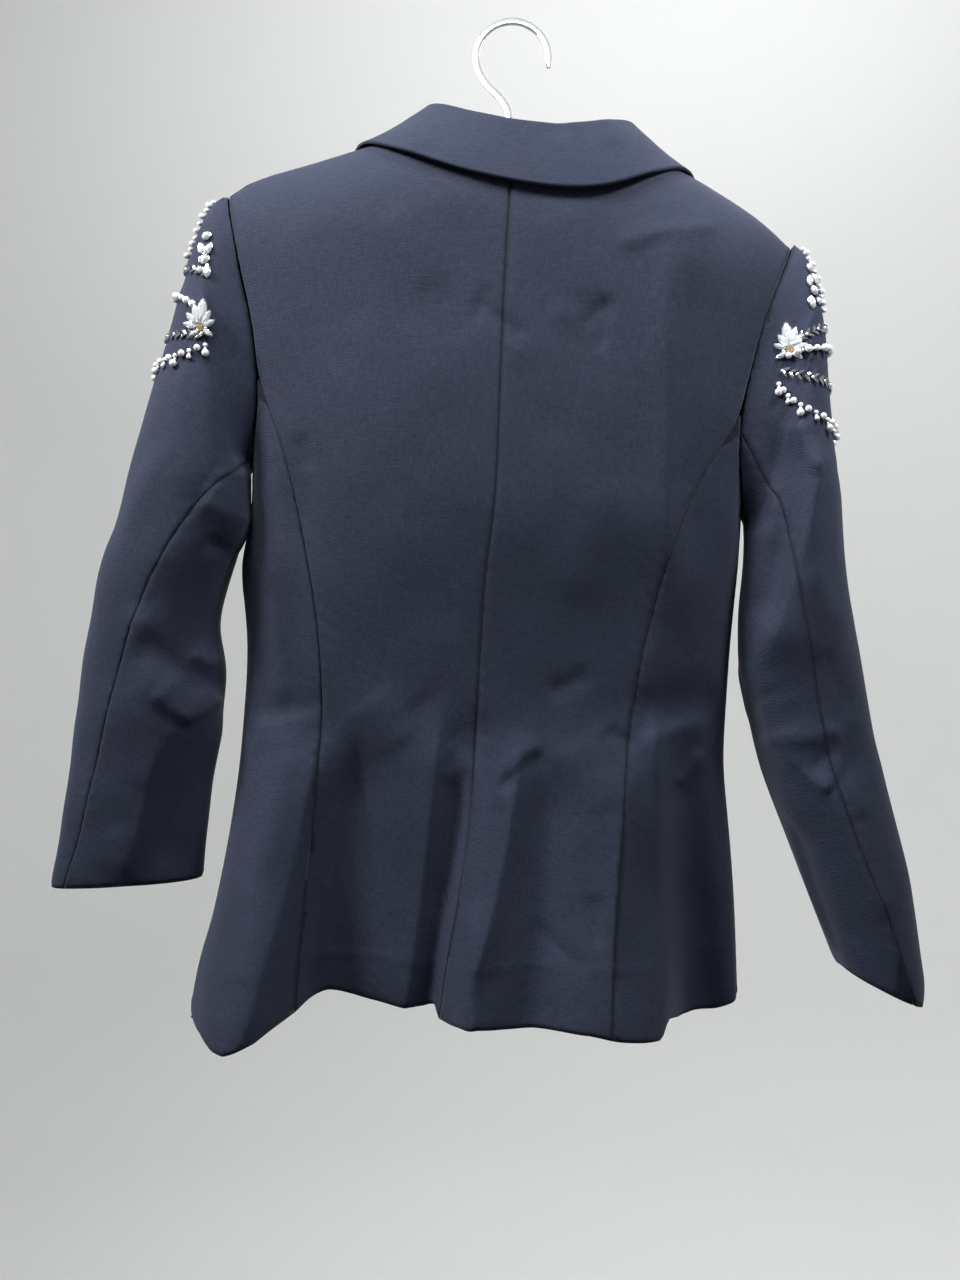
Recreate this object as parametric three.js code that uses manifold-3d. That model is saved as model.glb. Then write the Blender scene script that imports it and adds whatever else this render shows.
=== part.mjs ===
// Tailored blazer with beaded upper sleeves, hung on a clear plastic hanger.
// Millimetres. +Z is up, the back of the garment faces -Y, the wearer's left is at -X.
// The origin is the highest point inside the hanger's hook, where it rests on a rod.
import * as THREE from "three";
import Module from "manifold-3d";

const wasm = await Module();
wasm.setup();

// Cloth and gaps
const BODY_WALL = 1.6;
const SLEEVE_WALL = 1.6;
const COLLAR_WALL = 1.8;
const LAPEL_WALL = 1.8;
const SEAM_GAP = 0.34;
const LAYER_GAP = 0.5;

// The tables below measure heights from a line this far under the hook's inner top
const TABLE_ZERO = 4.2;

// Shoulder: how far the cloth drops while it turns from the seam to upright, and how full it is
const SHOULDER_TURN = 70;
const SHOULDER_ZONE = 12;
const FULLNESS = 0.45;
const SHOULDER_LINE = [
  { x: -212, z: -124 },
  { x: -197.4, z: -116.2 },
  { x: -183, z: -106 },
  { x: -162, z: -100 },
  { x: -134, z: -92.4 },
  { x: -109, z: -84.7 },
  { x: -78, z: -76.3 },
  { x: -60, z: -71.5 },
  { x: 12, z: -75 },
  { x: 84, z: -83 },
  { x: 97, z: -89 },
  { x: 127, z: -104.3 },
  { x: 146, z: -115.5 },
  { x: 160, z: -124 },
  { x: 174, z: -133.7 },
  { x: 188, z: -146.3 },
  { x: 194.6, z: -152.6 },
  { x: 210, z: -168 },
];

// Neck opening, and the share of a back panel's columns that lies outside it
const NECK = { centre: 12, half: 72, backTurn: 51 };
const SHOULDER_COLUMNS = 0.66;

// Body by level: outline of the left and right side, where each side lies in depth, and fullness
const BODY_LEVELS = [
  { z: -60, left: -216, right: 216, leftY: 0, rightY: 0, back: 54, front: 50 },
  { z: -110, left: -212, right: 213, leftY: 0, rightY: 0, back: 56, front: 54 },
  { z: -150, left: -205, right: 208, leftY: 0, rightY: 0, back: 58, front: 58 },
  { z: -200, left: -194, right: 191, leftY: 0, rightY: 0, back: 60, front: 64 },
  { z: -250, left: -186, right: 175, leftY: 0, rightY: 0, back: 61, front: 68 },
  { z: -307, left: -182, right: 164, leftY: 0, rightY: 0, back: 61, front: 70 },
  { z: -342, left: -183, right: 160.5, leftY: 0, rightY: 0, back: 60, front: 69 },
  { z: -376, left: -189.5, right: 158.5, leftY: 0, rightY: 2, back: 57, front: 66 },
  { z: -426, left: -184.5, right: 153.5, leftY: 0, rightY: 4, back: 51, front: 58 },
  { z: -479, left: -187.5, right: 150, leftY: 0, rightY: 4, back: 46, front: 52 },
  { z: -510, left: -190, right: 148, leftY: 0, rightY: 4, back: 46, front: 53 },
  { z: -559, left: -196.5, right: 152.5, leftY: -4, rightY: 4, back: 46, front: 57 },
  { z: -607, left: -205, right: 156, leftY: -10, rightY: 4, back: 46, front: 62 },
  { z: -648, left: -214, right: 157.5, leftY: -15, rightY: 4, back: 46, front: 66 },
  { z: -690, left: -221, right: 159, leftY: -20, rightY: 5, back: 46, front: 70 },
];

// Folds of the flared skirt: where each knot starts at the waist, where it hangs at the hem,
// and how far it stands out there
const FLARE_TOP = -470;
const FLARE_HEM = -680;
const SIDE_HEM = { left: -221, right: 159 };
const FLARE_POWER = 1.25;
const BACK_FLARE = [
  { waist: -190, hem: -221, out: 0 },
  { waist: -178, hem: -200, out: 26 },
  { waist: -163, hem: -179, out: 40 },
  { waist: -146, hem: -157, out: 22 },
  { waist: -132, hem: -134, out: -20 },
  { waist: -92, hem: -95, out: -24 },
  { waist: -32, hem: -58, out: -20 },
  { waist: -20, hem: -42, out: 14 },
  { waist: -8, hem: -28, out: 26 },
  { waist: 12, hem: 8, out: 20 },
  { waist: 40, hem: 48, out: 30 },
  { waist: 66, hem: 88, out: 30 },
  { waist: 82, hem: 104, out: -14 },
  { waist: 112, hem: 130, out: -26 },
  { waist: 150, hem: 159, out: 0 },
];
const FRONT_FLARE = [
  { waist: -190, hem: -221, out: 0 },
  { waist: -150, hem: -165, out: 14 },
  { waist: -100, hem: -112, out: -8 },
  { waist: -60, hem: -68, out: 8 },
  { waist: -19, hem: -31, out: 0 },
  { waist: 20, hem: 18, out: 8 },
  { waist: 66, hem: 70, out: -8 },
  { waist: 112, hem: 122, out: 14 },
  { waist: 150, hem: 159, out: 0 },
];

// Largest soft creases of the body, from one end to the other; a negative depth is a hollow
const BODY_CREASES = [
  { x1: 116, z1: -160, x2: 112, z2: -400, width: 16, depth: 4 },
  { x1: -140, z1: -310, x2: -152, z2: -470, width: 11, depth: -4 },
  { x1: -172, z1: -476, x2: -132, z2: -484, width: 7, depth: -4 },
  { x1: 82, z1: -494, x2: 128, z2: -480, width: 8, depth: -4 },
  { x1: -50, z1: -520, x2: -26, z2: -500, width: 8, depth: -4 },
  { x1: -22, z1: -500, x2: -8, z2: -540, width: 7, depth: -4 },
];

// Hem heights across
const BACK_HEM = [
  { x: -221, z: -685 },
  { x: -193, z: -691 },
  { x: -176, z: -689 },
  { x: -163, z: -682 },
  { x: -143, z: -672 },
  { x: -128, z: -666 },
  { x: -98, z: -671 },
  { x: -51, z: -672 },
  { x: -35, z: -678 },
  { x: 48, z: -681 },
  { x: 92, z: -684 },
  { x: 130, z: -683 },
  { x: 159, z: -674 },
];
const FRONT_HEM = [
  { x: -221, z: -685 },
  { x: -150, z: -682 },
  { x: -30, z: -680 },
  { x: 100, z: -678 },
  { x: 159, z: -674 },
];

// Seams of the back, by height
const CENTRE_SEAM = [
  { z: -95, x: 0 },
  { z: -178, x: -5.3 },
  { z: -270, x: -9.3 },
  { z: -332, x: -12 },
  { z: -387, x: -19 },
  { z: -476, x: -24.4 },
  { z: -552, x: -29.7 },
  { z: -598, x: -36.3 },
  { z: -638, x: -44.2 },
  { z: -690, x: -52 },
];
const PRINCESS_LEFT = [
  { z: -249.4, x: -172.9 },
  { z: -282, x: -159.5 },
  { z: -313, x: -150 },
  { z: -380, x: -136 },
  { z: -426, x: -129.8 },
  { z: -477, x: -128.3 },
  { z: -554, x: -135 },
  { z: -643, x: -142.8 },
  { z: -690, x: -145.5 },
];
const PRINCESS_RIGHT = [
  { z: -274.4, x: 153.8 },
  { z: -303, x: 134.8 },
  { z: -340, x: 113.8 },
  { z: -384, x: 98.5 },
  { z: -426, x: 88 },
  { z: -477, x: 78.8 },
  { z: -552, x: 71.9 },
  { z: -633, x: 64.8 },
  { z: -690, x: 62.5 },
];

// Armhole seams, by height, the same on back and front
const ARMHOLE_LEFT = [
  { z: -116.2, x: -197.4 },
  { z: -152, x: -189.8 },
  { z: -178, x: -184.2 },
  { z: -200, x: -178.7 },
  { z: -227, x: -174.3 },
  { z: -249.4, x: -172.9 },
  { z: -270, x: -173.6 },
  { z: -292, x: -177.4 },
  { z: -307, x: -182 },
];
const ARMHOLE_RIGHT = [
  { z: -152.6, x: 194.6 },
  { z: -178, x: 182.7 },
  { z: -198.6, x: 173.4 },
  { z: -220, x: 167 },
  { z: -241, x: 161 },
  { z: -274.4, x: 153.8 },
  { z: -297, x: 153.3 },
  { z: -323, x: 155.6 },
  { z: -342, x: 160.5 },
];

// Front closing edge and button. run is the height over which the edge moves from topX to hemX,
// bow how far the roll line curves inward
const CLOSING = { topX: -17, hemX: -31, breakZ: -435, run: 250, overlap: 14, bow: 7, buttonZ: -462 };
const BUTTON = { radius: 11, thickness: 4.5, rim: 1.1, shank: 0.6, ledge: 3, bevel: 1, dish: 0.8 };

// Where the right front rises over the left one: reach from the edge, fade, and how it starts
const OVERLAP_ZONE = { reach: 52, fade: 30, startZ: -340, run: 60 };

// Lapel width by height, measured from the roll line
const LAPEL_WIDTH = [
  { z: -172, width: 60 },
  { z: -200, width: 62 },
  { z: -260, width: 56 },
  { z: -330, width: 42 },
  { z: -395, width: 20 },
  { z: -430, width: 5 },
];

// The left lapel goes under the right front at this height
const LAPEL_TUCK = -372;

// Collar by place round the neck: 0 and 1 are the neck points, 0.5 the centre back, and beyond them
// it runs down the fronts. rise is the stand's height; edgeX and edgeTurn place the fall's edge,
// the turn in degrees over the shoulder, negative at the back
const GORGE_REACH = 82;
const COLLAR_FOLD = 2.4;
const COLLAR = [
  { place: -1, rise: 3.5, edgeX: -112, edgeTurn: 88, lift: 2.2 },
  { place: -0.6, rise: 7, edgeX: -115, edgeTurn: 58, lift: 2.2 },
  { place: -0.25, rise: 12, edgeX: -114, edgeTurn: 28, lift: 2.2 },
  { place: 0, rise: 15, edgeX: -110, edgeTurn: 3, lift: 2.4 },
  { place: 0.15, rise: 17, edgeX: -92, edgeTurn: -34, lift: 3 },
  { place: 0.3, rise: 19, edgeX: -58, edgeTurn: -63, lift: 4 },
  { place: 0.5, rise: 20, edgeX: 4, edgeTurn: -76, lift: 4 },
  { place: 0.7, rise: 18, edgeX: 62, edgeTurn: -73, lift: 4 },
  { place: 0.85, rise: 16, edgeX: 100, edgeTurn: -48, lift: 3 },
  { place: 1, rise: 15, edgeX: 128, edgeTurn: 2, lift: 2.4 },
  { place: 1.25, rise: 12, edgeX: 131, edgeTurn: 28, lift: 2.2 },
  { place: 1.6, rise: 7, edgeX: 132, edgeTurn: 52, lift: 2.2 },
  { place: 2, rise: 3.5, edgeX: 126, edgeTurn: 72, lift: 2.2 },
];

// Sleeve rings: ends of the long axis in the plane of the shoulders, depth to the back and front,
// and the angle of the back seam, measured from the outer end over the back
const SLEEVE_LEFT = [
  { outX: -197.4, outZ: -116.2, inX: -182, inZ: -307, back: 31, front: 33, seam: 159 },
  { outX: -205, outZ: -117.6, inX: -183.4, inZ: -311.5, back: 33, front: 35, seam: 156 },
  { outX: -213.5, outZ: -128.8, inX: -183.7, inZ: -315.7, back: 36, front: 37, seam: 154 },
  { outX: -220.5, outZ: -151.9, inX: -183.9, inZ: -321.3, back: 40, front: 40, seam: 149 },
  { outX: -230.3, outZ: -188.3, inX: -184.2, inZ: -328.3, back: 44, front: 43, seam: 143 },
  { outX: -246.4, outZ: -242.9, inX: -184.8, inZ: -338.8, back: 47, front: 46, seam: 129 },
  { outX: -261.8, outZ: -293.3, inX: -186, inZ: -350.7, back: 48, front: 48, seam: 115 },
  { outX: -277.9, outZ: -349.3, inX: -188.6, inZ: -367.5, back: 47, front: 48, seam: 98 },
  { outX: -290.5, outZ: -396.9, inX: -199, inZ: -394.1, back: 45, front: 46, seam: 87 },
  { outX: -298.2, outZ: -443.8, inX: -196.4, inZ: -433.3, back: 42, front: 43, seam: 73 },
  { outX: -305.2, outZ: -492.8, inX: -201, inZ: -485.8, back: 38, front: 40, seam: 64 },
  { outX: -312.2, outZ: -541.8, inX: -209.3, inZ: -534.8, back: 32, front: 35, seam: 54 },
  { outX: -321.3, outZ: -597.8, inX: -214.9, inZ: -591.5, back: 25, front: 28, seam: 41 },
];
const SLEEVE_RIGHT = [
  { outX: 194.6, outZ: -152.6, inX: 160.5, inZ: -342, back: 31, front: 33, seam: 114 },
  { outX: 200.2, outZ: -151.9, inX: 161.8, inZ: -346.5, back: 33, front: 35, seam: 120 },
  { outX: 206.5, outZ: -161.7, inX: 161.6, inZ: -350.7, back: 36, front: 37, seam: 128 },
  { outX: 211.8, outZ: -181.3, inX: 161.4, inZ: -356.3, back: 40, front: 40, seam: 129 },
  { outX: 216.3, outZ: -209.3, inX: 161, inZ: -363.3, back: 44, front: 43, seam: 124 },
  { outX: 218.5, outZ: -244.3, inX: 160.6, inZ: -371.7, back: 47, front: 46, seam: 117 },
  { outX: 222.2, outZ: -286.3, inX: 159.8, inZ: -384.3, back: 49, front: 48, seam: 110 },
  { outX: 226, outZ: -342.3, inX: 158.2, inZ: -400.4, back: 50, front: 50, seam: 102 },
  { outX: 232, outZ: -398.3, inX: 157, inZ: -422.8, back: 50, front: 51, seam: 94 },
  { outX: 243, outZ: -454.3, inX: 159, inZ: -464.8, back: 47, front: 49, seam: 90 },
  { outX: 254.5, outZ: -513.8, inX: 174, inZ: -517.3, back: 45, front: 47, seam: 93 },
  { outX: 266.7, outZ: -562.8, inX: 193.9, inZ: -564.9, back: 44, front: 45, seam: 92 },
  { outX: 275.8, outZ: -608.3, inX: 208.6, inZ: -608.3, back: 43, front: 43, seam: 83 },
  { outX: 283.5, outZ: -678.3, inX: 226.8, inZ: -652.4, back: 41, front: 42, seam: 67 },
];
const FRONT_SEAM_ANGLE = 236;

// The sleeve's inner side lies against the body a little behind the side seam: the ring where it
// does so most, how far that reaches along the sleeve, and the shift
const SLEEVE_PRESS = { ring: 5.5, reach: 3.2, shift: 14 };
const CAP_RINGS = 3;

// Largest folds of the sleeves: angle and ring of the middle, reach each way, and depth inward
const CREASES_LEFT = [
  { angle: 150, ring: 8.6, angleReach: 34, ringReach: 0.6, depth: 9 },
  { angle: 105, ring: 9.6, angleReach: 40, ringReach: 0.35, depth: -5 },
  { angle: 215, ring: 8.6, angleReach: 30, ringReach: 0.6, depth: 7 },
];
const CREASES_RIGHT = [
  { angle: 150, ring: 9.3, angleReach: 34, ringReach: 0.55, depth: 8 },
  { angle: 100, ring: 9.9, angleReach: 42, ringReach: 0.35, depth: 5 },
  { angle: 118, ring: 6.2, angleReach: 20, ringReach: 1.5, depth: 6 },
];

// Raised beadwork. A row of the sleeve's grid is a ring place at the sides and at the outer end, so
// rows hang as scallops; raised rows are bead swags between a flower at the back and one in front
const BEAD_REACH = 78;
const SWAG_HEIGHT = 2.2;
const FLOWER = { angle: 66, ring: 2.75, angleReach: 13, ringReach: 0.55, height: 3.4 };
const TOP_SLEEVE_ROWS = [
  { side: 0, out: 0, raised: 0 },
  { side: 0.3, out: 0.5, raised: 1 },
  { side: 0.8, out: 1.3, raised: 0 },
  { side: 1.3, out: 2.1, raised: 0 },
  { side: 1.75, out: 2.8, raised: 0 },
  { side: 2, out: 3.15, raised: 0 },
  { side: 2.15, out: 3.35, raised: 1 },
  { side: 2.3, out: 3.55, raised: 0 },
  { side: 2.5, out: 3.8, raised: 0 },
  { side: 2.65, out: 3.98, raised: 1 },
  { side: 2.8, out: 4.15, raised: 0 },
  { side: 2.95, out: 4.35, raised: 0 },
  { side: 3.07, out: 4.52, raised: 1 },
  { side: 3.2, out: 4.7, raised: 0 },
  { side: 3.35, out: 4.88, raised: 0 },
  { side: 3.5, out: 5.05, raised: 1 },
  { side: 3.7, out: 5.25, raised: 0 },
  { side: 4.3, out: 5.7, raised: 0 },
  { side: 5.1, out: 6.3, raised: 0 },
  { side: 6, out: 6.9, raised: 0 },
  { side: 6.9, out: 7.5, raised: 0 },
  { side: 7.8, out: 8.1, raised: 0 },
];
const LOWER_ROWS = 9;
const LOWER_START = 8.6;

// Hanger
const ARM = { leftX: -182, rightX: 174, height: 9, width: 7, clear: 0.7, neckX: -2.8, neckZ: -66 };
const HOOK = { centreZ: -18.8, radius: 25.5, wire: 5, tip: 7 };
const HOOK_STEM = [
  { x: -2.8, z: -70 },
  { x: -2.8, z: -57 },
  { x: -8.4, z: -47 },
  { x: -17, z: -38.5 },
  { x: -23.2, z: -29 },
];

// Helpers
const radians = (degrees) => (degrees * Math.PI) / 180;
const mix = (a, b, f) => a + (b - a) * f;
const clamp = (v, low, high) => Math.min(high, Math.max(low, v));
const smooth = (v) => {
  const f = clamp(v, 0, 1);
  return f * f * (3 - 2 * f);
};

// A smooth curve through a table's rows, for every named column
function curve(table, key) {
  const rows = [...table].sort((a, b) => a[key] - b[key]);
  const names = Object.keys(rows[0]).filter((name) => name !== key);
  const slope = (i, name) => {
    const before = rows[Math.max(0, i - 1)];
    const after = rows[Math.min(rows.length - 1, i + 1)];
    return (after[name] - before[name]) / (after[key] - before[key]);
  };
  return (value) => {
    const v = clamp(value, rows[0][key], rows[rows.length - 1][key]);
    let i = 0;
    while (i < rows.length - 2 && v > rows[i + 1][key]) i += 1;
    const span = rows[i + 1][key] - rows[i][key];
    const f = (v - rows[i][key]) / span;
    const found = { [key]: v };
    for (const name of names) {
      const a = rows[i][name];
      const b = rows[i + 1][name];
      const h = f * f * (3 - 2 * f);
      const start = f * (1 - f) * (1 - f) * span * slope(i, name);
      const end = f * f * (f - 1) * span * slope(i + 1, name);
      found[name] = mix(a, b, h) + start + end;
    }
    return found;
  };
}

const shoulderLine = curve(SHOULDER_LINE, "x");
const bodyLevel = curve(BODY_LEVELS, "z");
const backHem = curve(BACK_HEM, "x");
const frontHem = curve(FRONT_HEM, "x");
const centreSeam = curve(CENTRE_SEAM, "z");
const princess = { left: curve(PRINCESS_LEFT, "z"), right: curve(PRINCESS_RIGHT, "z") };
const armhole = { left: curve(ARMHOLE_LEFT, "z"), right: curve(ARMHOLE_RIGHT, "z") };
const collarAt = curve(COLLAR, "place");
const lapelAt = curve(LAPEL_WIDTH, "z");

// Body surface
function flareOut(table, x, z) {
  const f = clamp((FLARE_TOP - z) / (FLARE_TOP - FLARE_HEM), 0, 1.1);
  if (f <= 0) return 0;
  const place = (knot) => mix(knot.waist, knot.hem, f);
  let i = 0;
  while (i < table.length - 2 && x > place(table[i + 1])) i += 1;
  const a = table[i];
  const b = table[i + 1];
  const across = smooth((x - place(a)) / (place(b) - place(a)));
  return mix(a.out, b.out, across) * f ** FLARE_POWER;
}

function creaseOut(x, z) {
  let out = 0;
  for (const c of BODY_CREASES) {
    const dx = c.x2 - c.x1;
    const dz = c.z2 - c.z1;
    const along = ((x - c.x1) * dx + (z - c.z1) * dz) / (dx * dx + dz * dz);
    const near = clamp(along, 0, 1);
    const away = Math.hypot(x - c.x1 - near * dx, z - c.z1 - near * dz) / c.width;
    out += c.depth * Math.exp(-away * away);
  }
  return out;
}

// The angle runs round the body: 0 left side, 90 centre back, 180 right side, 270 centre front
function bodyPoint(angle, z) {
  const level = bodyLevel(z);
  const centre = (level.left + level.right) / 2;
  const half = (level.right - level.left) / 2;
  const turn = radians(angle);
  const sine = Math.sin(turn);
  const x = centre - half * Math.cos(turn);
  const middle = mix(level.leftY, level.rightY, (1 - Math.cos(turn)) / 2);
  const fill = Math.abs(sine) * (1 + FULLNESS * (1 - Math.abs(sine)));
  const drop = clamp((shoulderLine(x).z - z) / SHOULDER_TURN, 0, 1);
  const round = Math.sqrt(1 - (1 - drop) * (1 - drop));
  const inward = smooth(Math.abs(sine) / 0.45);
  let depth = 0;
  if (sine >= 0) {
    depth = level.back * fill + (flareOut(BACK_FLARE, x, z) + creaseOut(x, z)) * inward;
  } else {
    depth = level.front * fill + flareOut(FRONT_FLARE, x, z) * inward;
  }
  return new THREE.Vector3(x, middle - Math.sign(sine) * depth * round, z);
}

function angleAt(x, z, back) {
  const level = bodyLevel(z);
  const centre = (level.left + level.right) / 2;
  const half = (level.right - level.left) / 2;
  const turn = (Math.acos(clamp((centre - x) / half, -1, 1)) * 180) / Math.PI;
  return back ? turn : -turn;
}

const neckDrop = (x) => {
  const across = clamp((x - NECK.centre) / NECK.half, -1, 1);
  const turn = NECK.backTurn * Math.sqrt(1 - across * across);
  return SHOULDER_TURN * (1 - Math.cos(radians(turn)));
};
const neckX = { left: NECK.centre - NECK.half, right: NECK.centre + NECK.half };
const closingX = (z) => mix(CLOSING.topX, CLOSING.hemX, smooth((CLOSING.breakZ - z) / CLOSING.run));

// A surface point by its place across and its turn over the shoulder, negative at the back
function overShoulder(x, turn) {
  const size = Math.abs(turn);
  const round = Math.min(size, 90);
  const drop = SHOULDER_TURN * (1 - Math.cos(radians(round))) + Math.max(0, size - 90) * 1.2;
  const z = shoulderLine(x).z - Math.max(drop, 0.001);
  return bodyPoint(angleAt(x, z, turn < 0), z);
}

// Grids of points turned into closed walls
function gridNormals(grid) {
  const rows = grid.length;
  const cols = grid[0].length;
  const step = (pick, i, last) => {
    if (i === 0) return pick(1).clone().multiplyScalar(4).sub(pick(2)).sub(pick(0).clone().multiplyScalar(3));
    if (i === last) {
      const back = pick(last).clone().multiplyScalar(3).sub(pick(last - 1).clone().multiplyScalar(4));
      return back.add(pick(last - 2));
    }
    return pick(i + 1).clone().sub(pick(i - 1));
  };
  return grid.map((row, i) =>
    row.map((_, j) => {
      const down = step((k) => grid[k][j], i, rows - 1);
      const over = step((k) => grid[i][k], j, cols - 1);
      return over.cross(down).normalize();
    }),
  );
}

function wallSolid(outer, inner) {
  const rows = outer.length;
  const cols = outer[0].length;
  const positions = [];
  for (const grid of [outer, inner]) {
    for (const row of grid) for (const p of row) positions.push(p.x, p.y, p.z);
  }
  const out = (i, j) => i * cols + j;
  const ins = (i, j) => rows * cols + i * cols + j;
  const faces = [];
  const quad = (a, b, c, d) => faces.push(a, b, c, a, c, d);
  for (let i = 0; i < rows - 1; i += 1) {
    for (let j = 0; j < cols - 1; j += 1) {
      quad(out(i, j), out(i, j + 1), out(i + 1, j + 1), out(i + 1, j));
      quad(ins(i, j), ins(i + 1, j), ins(i + 1, j + 1), ins(i, j + 1));
    }
  }
  for (let i = 0; i < rows - 1; i += 1) {
    quad(out(i, 0), out(i + 1, 0), ins(i + 1, 0), ins(i, 0));
    quad(out(i + 1, cols - 1), out(i, cols - 1), ins(i, cols - 1), ins(i + 1, cols - 1));
  }
  for (let j = 0; j < cols - 1; j += 1) {
    quad(out(0, j + 1), out(0, j), ins(0, j), ins(0, j + 1));
    quad(out(rows - 1, j), out(rows - 1, j + 1), ins(rows - 1, j + 1), ins(rows - 1, j));
  }
  return closedGeometry(positions, faces);
}

// Faces are turned round where the volume comes out negative
function closedGeometry(positions, faces) {
  const at = (i) => new THREE.Vector3(positions[3 * i], positions[3 * i + 1], positions[3 * i + 2]);
  let volume = 0;
  for (let f = 0; f < faces.length; f += 3) {
    volume += at(faces[f]).dot(at(faces[f + 1]).cross(at(faces[f + 2])));
  }
  const turned = [...faces];
  if (volume < 0) {
    for (let f = 0; f < turned.length; f += 3) {
      turned[f + 1] = faces[f + 2];
      turned[f + 2] = faces[f + 1];
    }
  }
  const geometry = new THREE.BufferGeometry();
  geometry.setAttribute("position", new THREE.Float32BufferAttribute(positions, 3));
  geometry.setIndex(turned);
  geometry.computeVertexNormals();
  return geometry;
}

// Each edge steps back by half of the seam gap
function trimEdges(grid, gap) {
  const rows = grid.length;
  const cols = grid[0].length;
  const pull = (p, q) => p.clone().add(q.clone().sub(p).normalize().multiplyScalar(gap));
  const narrowed = grid.map((row) => {
    const next = row.map((p) => p.clone());
    next[0] = pull(row[0], row[1]);
    next[cols - 1] = pull(row[cols - 1], row[cols - 2]);
    return next;
  });
  const first = narrowed[0].map((p, j) => pull(p, narrowed[1][j]));
  const last = narrowed[rows - 1].map((p, j) => pull(p, narrowed[rows - 2][j]));
  return [first, ...narrowed.slice(1, rows - 1), last];
}

function cloth(grid, wall, away, normals, lift = () => 0) {
  let side = 0;
  grid.forEach((row, i) => row.forEach((p, j) => { side += normals[i][j].dot(away(p, i)); }));
  const sign = Math.sign(side);
  const shifted = (by) => grid.map((row, i) =>
    row.map((p, j) => p.clone().addScaledVector(normals[i][j], sign * by(i, j))));
  const outer = shifted((i, j) => lift(i, j));
  const inner = shifted(() => -wall);
  return wallSolid(outer, inner);
}

// The surface's own normal, the same for both panels of a seam, taken below the shoulder zone
function bodyNormals(grid, back) {
  const rough = gridNormals(grid);
  return grid.map((row, i) => row.map((p, j) => {
    if (shoulderLine(p.x).z - p.z < SHOULDER_ZONE) return rough[i][j];
    const angle = angleAt(p.x, p.z, back);
    const across = bodyPoint(angle + 0.8, p.z).sub(bodyPoint(angle - 0.8, p.z));
    const down = bodyPoint(angle, p.z - 1.5).sub(bodyPoint(angle, p.z + 1.5));
    const normal = across.cross(down).normalize();
    return normal.dot(rough[i][j]) < 0 ? normal.negate() : normal;
  }));
}

// Rows are closer together where the cloth turns over the shoulder
function rowFractions(turnRows, straightRows, length) {
  const turned = [];
  for (let i = 0; i <= turnRows; i += 1) {
    turned.push((SHOULDER_TURN * (1 - Math.cos((i / turnRows) * (Math.PI / 2)))) / length);
  }
  const start = turned[turnRows];
  for (let i = 1; i <= straightRows; i += 1) turned.push(mix(start, 1, i / straightRows));
  return turned;
}
const evenFractions = (count) => Array.from({ length: count + 1 }, (_, i) => i / count);

const BACK_ROWS = rowFractions(4, 23, 585);

// A body panel between two seams, each an angle by height, from its top edge to the hem
function panelGrid({ across, down, edgeA, edgeB, top, hem }) {
  const tops = across.map((s) => top(s));
  const a0 = edgeA(tops[0].z);
  const b0 = edgeB(tops[tops.length - 1].z);
  const lows = across.map((s) => hem(s));
  return down.map((f) => {
    const zs = tops.map((t, j) => mix(t.z, lows[j], f));
    const a = edgeA(zs[0]);
    const b = edgeB(zs[zs.length - 1]);
    const fade = 1 - smooth(f / 0.22);
    return across.map((s, j) => {
      const settled = tops[j].angle - mix(a0, b0, s);
      return bodyPoint(mix(a, b, s) + fade * settled, zs[j]);
    });
  });
}

const bodyAway = (p) => {
  const level = bodyLevel(p.z);
  const centre = (level.left + level.right) / 2;
  return new THREE.Vector3((p.x - centre) * 0.2, p.y, p.z > -150 ? 40 : 0);
};

// Panels
function backPanel(side) {
  const armSeam = armhole[side];
  const start = side === "left" ? ARMHOLE_LEFT[0] : ARMHOLE_RIGHT[0];
  const seamTop = side === "left" ? PRINCESS_LEFT[0].z : PRINCESS_RIGHT[0].z;
  const outerX = (z) => (z > seamTop ? armSeam(z).x : princess[side](z).x);
  const across = [...evenFractions(7).map((s) => s * SHOULDER_COLUMNS), 0.75, 0.84, 0.92, 1];
  const centreTop = centreSeam(-100).x;
  const neckShare = (neckX[side] - start.x) / (centreTop - start.x);
  const shares = across.map((s) => {
    if (s <= SHOULDER_COLUMNS) return (s / SHOULDER_COLUMNS) * neckShare;
    return mix(neckShare, 1, (s - SHOULDER_COLUMNS) / (1 - SHOULDER_COLUMNS));
  });
  const topX = (s) => mix(start.x, centreTop, s);
  const grid = panelGrid({
    across: shares,
    down: BACK_ROWS,
    edgeA: (z) => angleAt(outerX(z), z, true),
    edgeB: (z) => angleAt(centreSeam(z).x, z, true),
    top: (s) => {
      const x = topX(s);
      const z = shoulderLine(x).z - neckDrop(x) - 0.02;
      return { z, angle: angleAt(x, z, true) };
    },
    hem: (s) => backHem(mix(princess[side](FLARE_HEM).x, centreSeam(FLARE_HEM).x, s)).z,
  });
  return cloth(trimEdges(grid, SEAM_GAP / 2), BODY_WALL, bodyAway, bodyNormals(grid, true));
}

// The side panel's rows meet the back panel's rows along their seam
function sideRows(side, seamTop) {
  const high = side === "left" ? ARMHOLE_LEFT[0].z : ARMHOLE_RIGHT[0].z;
  const low = backHem(princess[side](FLARE_HEM).x).z;
  const heights = BACK_ROWS.map((f) => mix(high, low, f)).filter((z) => z < seamTop - 4);
  return [0, ...heights.map((z) => (seamTop - z) / (seamTop - low))];
}

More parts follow.
